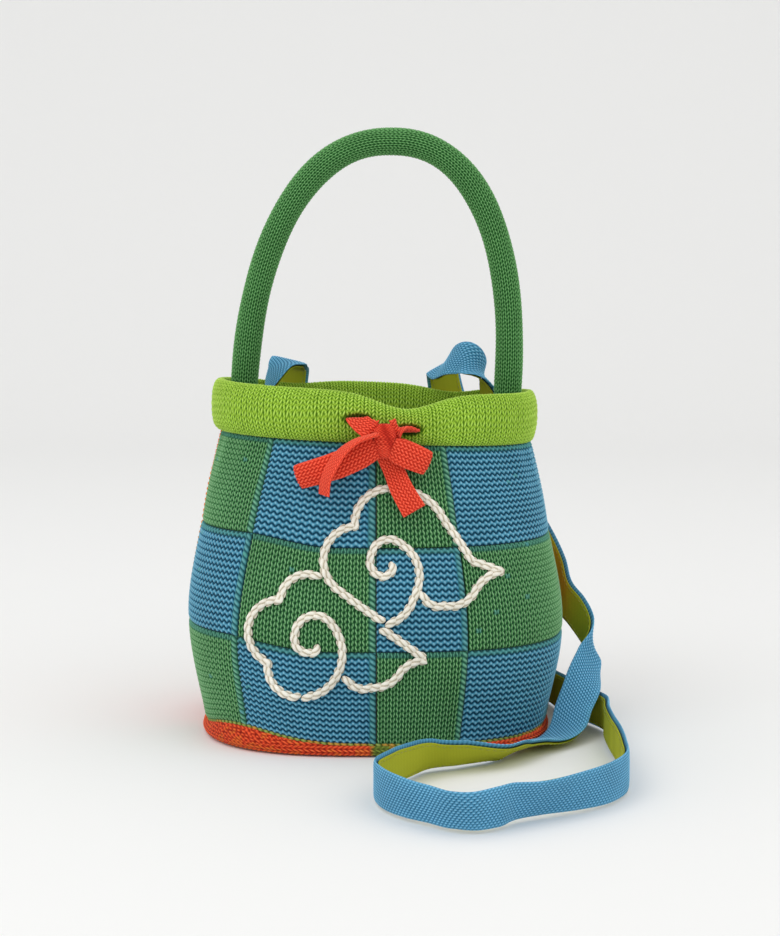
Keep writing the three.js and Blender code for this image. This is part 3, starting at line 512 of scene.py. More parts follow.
class Shading:
    """A node material in the making. Its methods add nodes and return the output that is wanted."""

    def __init__(self, name):
        self.material = bpy.data.materials.new(name)
        self.material.use_nodes = True
        self.tree = self.material.node_tree
        self.tree.nodes.clear()

    def node(self, kind, output, inputs=None, **settings):
        """A node whose inputs are linked to other nodes' outputs or set to plain values."""
        node = self.tree.nodes.new(f"ShaderNode{kind}")
        for key, value in settings.items():
            setattr(node, key, value)
        for key, value in (inputs or {}).items():
            if isinstance(value, bpy.types.NodeSocket):
                self.tree.links.new(value, node.inputs[key])
            else:
                node.inputs[key].default_value = value
        return node.outputs[output]

    def attribute(self, key):
        """A number of the mesh's own."""
        return self.node("Attribute", "Fac", attribute_name=key)

    def math(self, operation, first, second):
        """Two numbers put through an operation."""
        return self.node("Math", 0, {0: first, 1: second}, operation=operation)

    def mix(self, share, first, second, mode="MIX"):
        """Two colours mixed by a share of the second."""
        return self.node("Mix", 2, {0: share, 6: first, 7: second}, data_type="RGBA", blend_type=mode)

    def ramp(self, height, *stops):
        """Colours over a height, from pairs of a place and a colour."""
        ramp = self.node("ValToRGB", 0, {0: height})
        elements = ramp.node.color_ramp.elements
        elements[0].position, elements[1].position = stops[0][0], stops[-1][0]
        for place, value in stops[1:-1]:
            elements.new(place)
        for element, (place, value) in zip(elements, stops):
            element.color = (*value, 1)
        return ramp

    def bump(self, height, strength, distance):
        """A normal that leans with the slope of a height."""
        return self.node("Bump", 0, {"Height": height, "Strength": strength, "Distance": distance})

    def finish(self, colour, specular, **inputs):
        """The material, closed by a matt shader."""
        inputs = {key.replace("_", " "): value for key, value in inputs.items()}
        shader = self.node("BsdfPrincipled", 0, {
            "Base Color": colour, "Roughness": MATT, "Specular IOR Level": specular, **inputs})
        output = self.tree.nodes.new("ShaderNodeOutputMaterial")
        self.tree.links.new(shader, output.inputs[0])
        return self.material


def scaled(value, factor):
    """A colour made darker or lighter."""
    return tuple(factor * c for c in value)


def yarn_material(name, base, gap, light, fleck=None, fleck_share=0.0, second=None, fibre=0.35):
    """Knitted yarn: painted shade between the stitches and a painted highlight on their crests, with fleck
    stitches and fibres.

    The attribute tone is the height of the stitch. Where the yarn has flecks, tint is a number for each
    stitch, and where it has a second colour, mix is the share of it."""
    yarn = Shading(name)
    tone = yarn.attribute("tone")
    # gap is a painted shade colour for the hollows between the stitches, and light a painted highlight colour
    # for their crests.
    colour = yarn.ramp(tone, (0.10, gap), (0.50, base), (0.95, light))
    if second is not None:
        # The second yarn also darkens to a painted shade, three tenths of its colour, in the gaps.
        other = yarn.ramp(tone, (0.1, scaled(second, 0.3)), (0.75, second))
        colour = yarn.mix(yarn.attribute("mix"), colour, other)
    if fleck is not None:
        chosen = yarn.math("GREATER_THAN", yarn.attribute("tint"), 1 - fleck_share)
        # Flecks are mixed in by the tone, so they fade into the painted shade of the gaps.
        lit = yarn.math("MULTIPLY", yarn.math("MULTIPLY", chosen, tone), 0.6)
        colour = yarn.mix(lit, colour, (*fleck, 1))
    place = yarn.node("TexCoord", "Object")
    fibres = yarn.node("TexNoise", "Fac", {"Vector": place, "Scale": FIBRE_SCALE, "Detail": 3})
    patchy = yarn.node("TexNoise", "Fac", {"Vector": place, "Scale": PATCHY_SCALE})
    for source, low, high in ((fibres, 0.74, 1.26), (patchy, 0.84, 1.14)):
        span = yarn.node("MapRange", 0, {"Value": source, "To Min": low, "To Max": high})
        colour = yarn.mix(1.0, colour, span, "MULTIPLY")
    normal = yarn.bump(fibres, fibre, 0.0003)
    return yarn.finish(colour, 0.12, Normal=normal, Sheen_Weight=0.06, Sheen_Roughness=0.5)


def woven_material(name, base, threads_per_metre):
    """Plain woven cloth: the product of two sine waves, across and up, in colour and bump.

    A wave texture is the sine of 20 times its scale times the distance, which sets its scale here."""
    cloth = Shading(name)
    place = cloth.node("TexCoord", "Object")
    wave = {"Vector": place, "Scale": TAU * threads_per_metre / 20, "Distortion": 0.6}
    across, up = (cloth.node("TexWave", "Fac", wave, bands_direction=way) for way in "XZ")
    height = cloth.math("MULTIPLY", across, up)
    colour = cloth.ramp(height, (0, scaled(base, 0.86)), (1, scaled(base, 1.12)))
    return cloth.finish(colour, 0.15, Normal=cloth.bump(height, 0.3, 0.0001))


def materials():
    """The finishes by name, made once."""
    if "green knit" in bpy.data.materials:
        return bpy.data.materials
    c = colours()
    # After each yarn's own colour come a painted shade colour for the gaps between its stitches and a painted
    # highlight colour for their crests. The dark red here is the red yarns' painted shade.
    red_gap_shade, teal = (0.22, 0.012, 0.004), (0.07, 0.30, 0.25)
    blue_fleck, green_fleck = (0.08, 0.33, 0.45), (0.08, 0.36, 0.24)
    yarn_material("green knit", c.green, (0.008, 0.052, 0.019), (0.38, 0.64, 0.37), blue_fleck, 0.006, teal)
    yarn_material("blue knit", c.blue, (0.005, 0.045, 0.085), (0.27, 0.53, 0.66), green_fleck, 0.006, teal)
    yarn_material("red knit", c.red, red_gap_shade, (0.95, 0.20, 0.07), c.orange, 0.2, c.orange)
    yarn_material("base knit", c.red, red_gap_shade, (0.92, 0.19, 0.05), c.orange, 0.25, (0.20, 0.28, 0.04))
    yarn_material("orange and green knit", (0.16, 0.25, 0.04), (0.10, 0.03, 0.004), (0.34, 0.40, 0.10),
                  c.orange, 0.3, c.orange)
    yarn_material("lime knit", c.lime, (0.05, 0.15, 0.004), (0.62, 0.84, 0.19))
    yarn_material("tie knit", c.tie, (0.42, 0.016, 0.008), (1.0, 0.20, 0.11))
    yarn_material("handle knit", c.handle, (0.010, 0.060, 0.014), (0.33, 0.60, 0.29))
    yarn_material("strap knit", c.strap, (0.010, 0.09, 0.19), (0.35, 0.65, 0.84))
    yarn_material("cream yarn", c.cream, (0.45, 0.38, 0.27), (0.92, 0.89, 0.80), fibre=0.5)
    yarn_material("seam thread", (0.20, 0.21, 0.02), (0.03, 0.03, 0.003), (0.34, 0.36, 0.06))
    woven_material("olive cloth", c.olive, 1300)
    woven_material("cotton cloth", (0.70, 0.65, 0.53), 1100)
    return bpy.data.materials


def finish_piece(obj, material, slot, body, *nodes):
    """Gives a piece its finish and its body, and hides the frame nodes that it stands for. The slot is not
    used.
    """
    obj.data.materials.append(materials()[material])
    if body:
        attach(obj, body)
    if nodes:
        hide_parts(*nodes)


# Pieces

# Points to a stitch across and up.
WALE_SAMPLES = 6
COURSE_SAMPLES = 5
PATCH_GAP = 0.15 * MM
PATCH_GAP_ANGLE = 0.1
PATCH_INSET = 0.3 * MM
PATCH_PUFF = 0.6 * MM
EDGE_SINK = 0.5 * MM


def wall_slab(name, edges, heights, courses, wales, stitch, seed):
    """A knitted panel of the wall: the wall's surface plus the height of its stitches along the normal.

    An edge is a pair of compass angles, at the foot and at the mouth. The panel's last column is a raised
    rope of linked stitches, and its top row runs with the next yarn."""
    s = sizes()
    rows = courses * COURSE_SAMPLES + 1
    columns = wales * WALE_SAMPLES + 1
    v, u = np.meshgrid(np.linspace(0, courses, rows), np.linspace(0, wales, columns), indexing="ij")
    z = heights[0] + (heights[1] - heights[0]) * v / courses
    levels = row_levels()
    share = (z - levels[0]) / (levels[-1] - levels[0])
    start, end = (np.radians(foot + (mouth - foot) * share) for foot, mouth in edges)
    across = np.linspace(0, 1, 200)
    middle = rows // 2
    line_angle = start[middle, 0] + (end - start)[middle, 0] * across
    along = arc_length(wall_point(line_angle, z[middle, 0] + 0 * across, PATCH_INSET))
    angle = start + (end - start) * np.interp(u / wales, along / along[-1], across)
    base = wall_point(angle, z, PATCH_INSET)
    normal = -grid_normals(base)
    rope = ease(u, wales - 1.15, wales - 0.9)
    strand = 0.55 + 0.45 * np.cos(TAU * (v + 0.8 * (u - wales)))
    strand *= np.sin(math.pi * np.clip((u - wales + 1.05) / 1.05, 0, 1)) ** 0.5
    height = stitch(u, v) * (1 - rope) + strand * rope
    bulge = PATCH_PUFF * np.clip(np.sin(math.pi * u / wales) * np.sin(math.pi * v / courses), 0, 1) ** 0.5
    ridge = 0.5 * MM * np.sin(math.pi * np.clip((u - wales + 1.1) / 1.1, 0, 1))
    edge = np.minimum(np.minimum(u, wales - u), np.minimum(v, courses - v))
    sink = EDGE_SINK * (1 - np.clip(edge / 0.7, 0, 1))
    lift = height * s.stitch_relief + bulge + ridge - sink + wall_folds(angle, z)
    outside = base + normal * lift[..., None]
    coarse = (slice(None, None, COURSE_SAMPLES), slice(None, None, WALE_SAMPLES))
    inside = wall_point(angle[coarse], z[coarse], s.wall)
    mix = np.maximum(0.6 * rope, 0.7 * ease(v, courses - 1.05, courses - 0.9))
    tint = stitch_noise(u, v, seed)
    return add_slab(name, outside, inside, COURSE_SAMPLES, WALE_SAMPLES, tone=height, tint=tint, mix=mix)


def make_patches(side, columns, finishes, slots):
    """The three rows of four knitted squares of one side, in a checker of two yarns and stitches.

    A square has as many stitches across and up as fit its middle's width and its height."""
    s, levels = sizes(), row_levels()
    for row in (1, 2, 3):
        low, high = levels[3 - row] + PATCH_GAP, levels[4 - row] - PATCH_GAP
        half_width, half_depth, power = body_shape((low + high) / 2)
        for column in (1, 2, 3, 4):
            edges = [[at[column - 1] + PATCH_GAP_ANGLE for at in columns],
                     [at[column] - PATCH_GAP_ANGLE for at in columns]]
            start, end = (math.radians(sum(edge) / 2) for edge in edges)
            radius = super_radius(half_width, half_depth, (start + end) / 2, power)
            wales = max(4, round(float(radius * (end - start) / s.stitch_width)))
            kind = (row + column) % 2
            courses = round((high - low) / (s.stitch_height, s.purl_height)[kind])
            stitch = (stocking_stitch, purl_stitch)[kind]
            node = f"patch_{side}_row{row}_column{column}"
            patch = wall_slab(f"knit_{side}_row{row}_column{column}", edges, (low, high), courses, wales,
                              stitch, row * 5 + column)
            finish_piece(patch, finishes[kind], slots[kind], "bag", node)


class BAG_OT_front(bpy.types.Operator):
    """Knit the twelve squares of the front"""

    bl_idname = "knitted_bag.front"
    bl_label = "Front squares"

    def execute(self, context):
        make_patches("front", FRONT_COLUMNS, ("green knit", "blue knit"), ("green_knit", "blue_knit"))
        return {"FINISHED"}


class BAG_OT_back(bpy.types.Operator):
    """Knit the twelve squares of the back"""

    bl_idname = "knitted_bag.back"
    bl_label = "Back squares"

    def execute(self, context):
        make_patches("back", BACK_COLUMNS, ("orange and green knit", "red knit"),
                     ("orange_green_knit", "red_orange_knit"))
        return {"FINISHED"}


# Half width and half height of the chains.
SIDE_SEAM = (1.35 * MM, 0.9 * MM)
BASE_SEAM = (1.0 * MM, 0.8 * MM)
BASE_SEAM_DROP = 0.6 * MM


class BAG_OT_seams(bpy.types.Operator):
    """Link the side seams and the seam above the base"""

    bl_idname = "knitted_bag.seams"
    bl_label = "Seams"

    def execute(self, context):
        # Chains up the wall at two compass angles, and one round it at the foot's level.
        s = sizes()
        levels = row_levels()
        for node, angle in SEAM_ANGLES.items():
            z = np.linspace(levels[0], levels[-1], 361)
            centre = wall_point(math.radians(angle) + 0 * z, z, SIDE_SEAM[1])
            out = out_from_axis(centre)
            name = node.replace("side", "linked_side")
            seam = chain_tube(name, centre, out, *SIDE_SEAM, s.stitch_height)
            finish_piece(seam, "red knit", "red_orange_knit", "bag", node)
        angle = round_angles(1200)
        centre = wall_point(angle, levels[0] + 0 * angle, BASE_SEAM[1]) - (0, 0, BASE_SEAM_DROP)
        out = out_from_axis(centre)
        seam = chain_tube("linked_base_seam", centre, out, *BASE_SEAM, s.stitch_width, closed=True)
        finish_piece(seam, "orange and green knit", "orange_green_knit", "bag", "base_seam")
        return {"FINISHED"}


def chain_tube(name, centre, out, half_width, half_height, pitch, closed=False):
    """A chain of linked stitches: an oval tube that swells with the size of a sine, once for each stitch."""
    tangent = unit(np.gradient(centre, axis=0))
    side = unit(np.cross(out, tangent))
    phase = arc_length(centre) / pitch
    turn = round_angles(12)
    swell = 0.72 + 0.28 * np.abs(np.sin(math.pi * (phase[:, None] + 0.12 * np.cos(turn)[None, :])))
    rings = swept(centre, side, out, np.cos(turn) * half_width * swell, np.sin(turn) * half_height * swell)
    # The tone follows the swell: painted shade where the links meet and a painted highlight on their fullest
    # part.
    tone = (swell - 0.72) / 0.28
    tint = stitch_noise(phase[:, None] + 0 * turn, 0 * swell, 3)
    return add_tube(name, rings, closed, tone=tone, tint=tint)


FOOT_RADIUS = 94 * MM
BAND_TOP_DROP = 1.2 * MM
BASE_RELIEF = 0.8 * MM
# Places across between which the base's middle strip fades in and out.
MIDDLE_STRIP = (-4 * MM, 0, 49 * MM, 52 * MM)


def base_dish(angle, turn, depth):
    """The base's side: from its flat edge up a bulging quarter turn to the drawn-up foot."""
    s = sizes()
    inset = depth + s.bottom_corner * (1 - np.sin(turn)) - s.band_bulge * np.sin(2 * turn) + 0 * angle
    foot = row_levels()[0]
    ring = wall_point(angle + 0 * turn, foot + 0 * inset, inset)
    top = foot - BAND_TOP_DROP + foot_lift(angle)
    ring[..., 2] = depth + (top - depth) * (1 - np.cos(turn))
    return ring


class BAG_OT_base(bpy.types.Operator):
    """Knit the base and its rounded band"""

    bl_idname = "knitted_bag.base"
    bl_label = "Base"

    def execute(self, context):
        # The underside is the dish's lowest ring drawn in by shares. Its stitches run straight across and
        # show only as painted shade and painted highlight, and those of the side run round it and stand up
        # along the normals.
        s = sizes()
        angle = round_angles(900)[None, :]
        outside = base_dish(angle, np.radians(np.linspace(0, 90, 26))[:, None], 0)
        inside = base_dish(angle, np.radians(np.linspace(90, 0, 9))[:, None], s.wall)
        shares = np.linspace(0.02, 0.985, 30)[:, None, None]
        floor = inside[-1:] * shares[::-3]
        floor[..., 2] = s.wall
        outside = np.concatenate([outside[:1] * shares, outside])
        tall = ease(outside[..., 2], 0.0004, 0.0016)
        around = angle * FOOT_RADIUS / s.stitch_width + 0 * tall
        below = stocking_stitch(outside[..., 0] / s.stitch_width, outside[..., 1] / s.stitch_height)
        band = stocking_stitch(outside[..., 2] / s.stitch_width + 0.25, around * 1.25)
        tone = band * tall + below * (1 - tall)
        normal = grid_normals(outside, closed_columns=True)
        normal *= np.sign((outside * normal).sum(-1, keepdims=True) + 1e-9)
        outside = outside + normal * (tone * BASE_RELIEF * tall)[..., None]
        outside[..., 2] = np.clip(outside[..., 2], 0, None)
        rings = np.concatenate([outside, inside, floor])
        hidden = np.zeros((len(inside) + len(floor), tone.shape[1]))
        x, y = rings[..., 0], rings[..., 1]
        mix = ease(x, *MIDDLE_STRIP[:2]) * (1 - ease(x, *MIDDLE_STRIP[2:]))
        tint = stitch_noise(x / s.stitch_width, y / s.stitch_height + rings[..., 2] / (s.band_height / 3), 2)
        base = add_tube("knit_base", rings, tone=np.concatenate([tone, hidden]), tint=tint, mix=mix)
        finish_piece(base, "base knit", "red_orange_knit", "bag", "base_left", "base_middle", "base_right")
        return {"FINISHED"}


# How far the lining laps over the rim's lower edge.
LINING_LAP = 3.6 * MM
LINING_LOOSENESS, LINING_THICKNESS, LINING_WRINKLE = 0.7 * MM, 0.7 * MM, 0.35 * MM
# Depths of the base lining's two faces under the knit.
BASE_LINING = (0.3 * MM, 1.1 * MM)


class BAG_OT_lining(bpy.types.Operator):
    """Hang the woven lining inside"""

    bl_idname = "knitted_bag.lining"
    bl_label = "Lining"

    def execute(self, context):
        # The wall drawn in by its thickness and the looseness, with sine wrinkles that fade out below and
        # above, and a second dish in the base.
        s = sizes()
        levels = row_levels()
        for node, start, end in (("lining_front", -84, 96), ("lining_back", 96, 276)):
            angle = np.radians(np.linspace(start + 0.2, end - 0.2, 91))[None, :] + np.zeros((61, 1))
            z = np.linspace(levels[0], levels[-1] + LINING_LAP, 61)[:, None] + 0 * angle
            share = np.clip((z - levels[0]) / (levels[-1] - levels[0]), 0, 1)
            wrinkle = LINING_WRINKLE * (1 + np.sin(9 * angle + 30 * z) * np.sin(math.pi * share))
            inner = wall_point(angle, z, s.wall + LINING_LOOSENESS + LINING_THICKNESS + wrinkle)
            outer = wall_point(angle, z, s.wall + LINING_LOOSENESS)[::5, ::5]
            lining = add_slab(node.replace("lining", "cloth"), inner, outer, 5, 5)
            finish_piece(lining, "cotton cloth", "cotton_lining", "bag", node)
        angle = round_angles(240)[None, :]
        turn = np.radians(np.linspace(0, 90, 9))[:, None]
        outer = base_dish(angle, turn, s.wall + BASE_LINING[0])
        inner = base_dish(angle, turn[::-1], s.wall + BASE_LINING[1])
        shares = np.linspace(0.02, 0.95, 5)[:, None, None]
        under, floor = outer[:1] * shares, inner[-1:] * shares[::-1]
        under[..., 2], floor[..., 2] = outer[0, 0, 2], inner[-1, 0, 2]
        lining = add_tube("cloth_base", np.concatenate([under, outer, inner, floor]))
        finish_piece(lining, "cotton cloth", "cotton_lining", "bag", "lining_base")
        return {"FINISHED"}


RIM_THICKNESS = 7.4 * MM
RIM_OVERHANG = 3.6 * MM
RIM_SWELL = 2.2 * MM
RIM_HEIGHT = 28 * MM
RIM_RELIEF, RIM_SINK = 0.85 * MM, 0.35 * MM
# A dip of the rim's top is its depth, its place across and its reach.
FRONT_DIP = (9 * MM, 17 * MM, 22 * MM)
BACK_DIPS = ((3 * MM, -50 * MM, 20 * MM), (4.5 * MM, 46 * MM, 20 * MM))
BACK_SAG = 3 * MM
# A slit is its place across and its height above the rim's foot.
LEFT_SLIT = (-9.5 * MM, 13.5 * MM)
RIGHT_SLIT = (18 * MM, 7.5 * MM)
SLIT_REACH = (7 * MM, 2.6 * MM)
SLIT_DEPTH = 4.2 * MM
# Compass angles between which the tie runs round inside the rim, by the back.
TIE_ENDS = np.radians([26, 342])
RIM_TURNS, RIM_AROUND = 1010, 96


def rim_top(x, y):
    """Height of the rim's top edge: a tilted line less bell-shaped dips at the front and the back."""
    s = sizes()

    def dip(depth, middle, reach):
        return depth * np.exp(-(((x - middle) / reach) ** 2))
    front = np.maximum(0, -y / s.mouth_half_depth) * dip(*FRONT_DIP)
    back = np.maximum(0, y / s.mouth_half_depth) * (BACK_SAG + sum(dip(*one) for one in BACK_DIPS))
    return row_levels()[-1] + RIM_HEIGHT - s.mouth_tilt * x - front - back


class BAG_OT_rim(bpy.types.Operator):
    """Knit the rolled casing at the mouth and the tie inside it"""

    bl_idname = "knitted_bag.rim"
    bl_label = "Rim"

    def execute(self, context):
        # The section is a superellipse between the wall's top and the rim's, and its outside swells, less so
        # at the right. Its columns of stitches run round it, and the slits are bell-shaped dents.
        s = sizes()
        top = row_levels()[-1]
        middle = RIM_OVERHANG - RIM_THICKNESS / 2
        angle = round_angles(RIM_TURNS)
        centre = wall_point(angle, top + 0 * angle, -middle)
        out = out_from_axis(centre)
        low = centre[:, 2] + 0.1 * MM
        high = rim_top(centre[:, 0], centre[:, 1])
        section = round_angles(RIM_AROUND)[None, :]
        side = signed_power(np.sin(section), 0.72)
        rise = -signed_power(np.cos(section), 0.86)
        half_height = ((high - low) / 2)[:, None]
        level = ((high + low) / 2)[:, None]
        rolls = 0.5 * MM * np.sin(3 * angle + 0.8)[:, None] * np.sin(2 * section + 1)
        swell = RIM_SWELL * (1 - 0.9 * ease(centre[:, :1], 0.03, s.mouth_half_width))
        reach = side * RIM_THICKNESS / 2 + (swell + rolls) * np.clip(side, 0, 1)
        rings = centre[:, None, :] + out[:, None, :] * reach[..., None]
        rings[..., 2] = level + rise * half_height
        along = arc_length(centre)
        u = (along / (along[-1] + along[1]) * round(along[-1] / s.stitch_width))[:, None] + 0 * section
        v = section / TAU * round(float(2 * (2 * half_height.mean() + RIM_THICKNESS) / s.fine_height)) + 0 * u
        height = stocking_stitch(u, v + 0.35 * np.sin(angle * 7)[:, None])
        normal = grid_normals(rings, True, True)
        outward = rings - centre[:, None, :]
        outward[..., 2] = rings[..., 2] - level
        normal *= np.sign((outward * normal).sum(-1, keepdims=True).mean())
        dent = np.zeros_like(height)
        for x, slit_rise in (LEFT_SLIT, RIGHT_SLIT):
            away = (((rings[..., 0] - x) / SLIT_REACH[0]) ** 2
                    + ((rings[..., 2] - top - slit_rise) / SLIT_REACH[1]) ** 2)
            dent += np.where((rings[..., 1] < 0) & (side > 0), SLIT_DEPTH * np.exp(-(away**2)), 0)
        rings = rings + normal * (height * RIM_RELIEF - RIM_SINK - dent)[..., None]
        # The tone is lowered with the depth of the slits' dents: painted shade inside the slits.
        tone = height * (1 - 0.7 * np.clip(dent / MM, 0, 1))
        rim = add_tube("knit_rim", rings, True, tone=tone)
        finish_piece(rim, "lime knit", "lime_knit", "bag", "rim_casing")
        band = np.linspace(*TIE_ENDS, 400)
        centre = wall_point(band, top + 0 * band, -middle)
        centre[:, 2] += (LEFT_SLIT[1] + RIGHT_SLIT[1]) / 2
        tie = knit_ribbon("tie_in_rim", centre, (0, 0, 1), 11 * MM, 1.6 * MM, 1.0 * MM, (3, 3))
        finish_piece(tie, "tie knit", "red_tie_knit", "bag", "drawstring_band")
        return {"FINISHED"}


RIBBON_RELIEF = 0.6 * MM


def flat_section(width, thickness, stitch, face, back):
    """Points round a superellipse of power four at even distances, and the column of stitches at each.

    Each half of the outline holds a whole number of columns, about a stitch wide, with face points to each
    on one side and back points on the other."""
    turn = np.linspace(0, math.pi, 2001)
    wide = signed_power(np.cos(turn), 0.5) * width / 2
    thick = np.sin(turn) ** 0.5 * thickness / 2
    along = arc_length(np.stack([wide, thick], axis=1))
    columns = max(2, round(along[-1] / stitch))
    sides = []
    for count, sign in ((face, 1), (back, -1)):
        even = np.linspace(0, along[-1], count * columns, endpoint=False)
        sides.append(np.stack([sign * np.interp(even, along, wide), sign * np.interp(even, along, thick),
                               even / along[-1] * columns]))
    return np.concatenate(sides, axis=1)[:, None, :]


def knit_ribbon(name, centre, across, width, thickness, step=0.5 * MM, points=(6, 6), taper=None, cup=0.0):
    """A flat knitted band: a flat section carried along a path, with stitches raised on its faces.

    The two legs of a column stand half a stitch apart along the band, so its gaps are staggered. Its
    points lie a step apart along the path, and points are their numbers to a column on its face and on
    its back. taper scales the width along the path, and cup bends the edges to the back by the square of
    their distance from the middle."""
    s = sizes()
    centre, across = even_path(centre, step, np.broadcast_to(across, centre.shape))
    across, face = square_across(centre, across)
    wide, thick, column = flat_section(width, thickness, s.fine_width, *points)
    along = arc_length(centre)[:, None]
    u = column + 0 * along
    v = along / s.fine_height + 0.5 * (np.floor(2 * u) % 2)
    height = stocking_stitch(u, v, 1.0, 0.3)
    flat = np.abs(thick / thickness * 2) ** 2
    lift = np.sign(thick) * (height - 0.5) * RIBBON_RELIEF * flat
    scale = np.ones_like(along) if taper is None else np.interp(along / along[-1], *taper)
    place = wide * scale
    bend = -cup * (place / (width / 2)) ** 2
    tone = height * (0.5 + 0.5 * flat) + 0.3 * (1 - flat)
    return add_tube(name, swept(centre, across, face, place, thick + lift + bend), tone=tone)


HANDLE_POWER = 2.25
HANDLE_FOOT = 165 * MM
HANDLE_STEP = 0.52 * MM
HANDLE_RELIEF, HANDLE_SINK = 0.9 * MM, 0.6 * MM
HANDLE_LUMPS = 0.18 * MM


def handle_path():
    """The handle's middle line: a superellipse arch over two short upright ends, leaning to the right."""
    s = sizes()
    pivot = frame["joints"][0]["pos_m"][2]
    angle = np.radians(np.linspace(-90, 90, 181))
    reach = super_radius(s.handle_half_span, s.handle_rise, angle, HANDLE_POWER)
    height = reach * np.cos(angle)
    lean = s.handle_lean * height / s.handle_rise
    arch = np.stack([reach * np.sin(angle) + lean, 0 * angle, pivot + height], axis=1)
    foot = np.linspace(HANDLE_FOOT, pivot, 12)[:-1]
    end = np.stack([0 * foot + s.handle_half_span, 0 * foot, foot], axis=1)
    return np.vstack([end * (-1, 1, 1), arch, end[::-1]])


class BAG_OT_handle(bpy.types.Operator):
    """Knit the stuffed handle from one sewn end to the other"""

    bl_idname = "knitted_bag.handle"
    bl_label = "Handle"

    def execute(self, context):
        # A round section whose radius is the handle's, less a sink, plus its stitches and slow lumps.
        s = sizes()
        radius = s.handle_radius
        centre, = even_path(handle_path(), HANDLE_STEP)
        side = np.broadcast_to([0.0, 1, 0], centre.shape)
        other = unit(np.cross(side, np.gradient(centre, axis=0)))
        wales = round(TAU * radius / s.fine_width)
        turn = round_angles(wales * WALE_SAMPLES)[None, :]
        along = arc_length(centre)[:, None]
        u = turn / TAU * wales + 0 * along
        v = along / s.fine_height + 0 * turn
        height = stocking_stitch(u, v)
        lumps = HANDLE_LUMPS * np.sin(along * 90) * np.sin(2 * turn + along * 30)
        size = radius - HANDLE_SINK + height * HANDLE_RELIEF + lumps
        rings = swept(centre, side, other, np.cos(turn) * size, np.sin(turn) * size)
        handle = add_tube("knit_handle", rings, tone=height)
        finish_piece(handle, "handle knit", "handle_knit", None, "handle_cover", "handle_core",
                     "handle_end_left", "handle_end_right")
        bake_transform(handle)
        return {"FINISHED"}


# Bow

KNOT = np.array([5, -74, 168]) * MM
KNOT_HALF = np.array([5.6, 4.6, 8.6]) * MM
# Columns of stitches up half the knot, and rows round it.
KNOT_COLUMNS, KNOT_ROWS = 7, 16


def from_knot(*points):
    """Points given in millimetres from the middle of the knot."""
    return KNOT + np.array(points, float) * MM


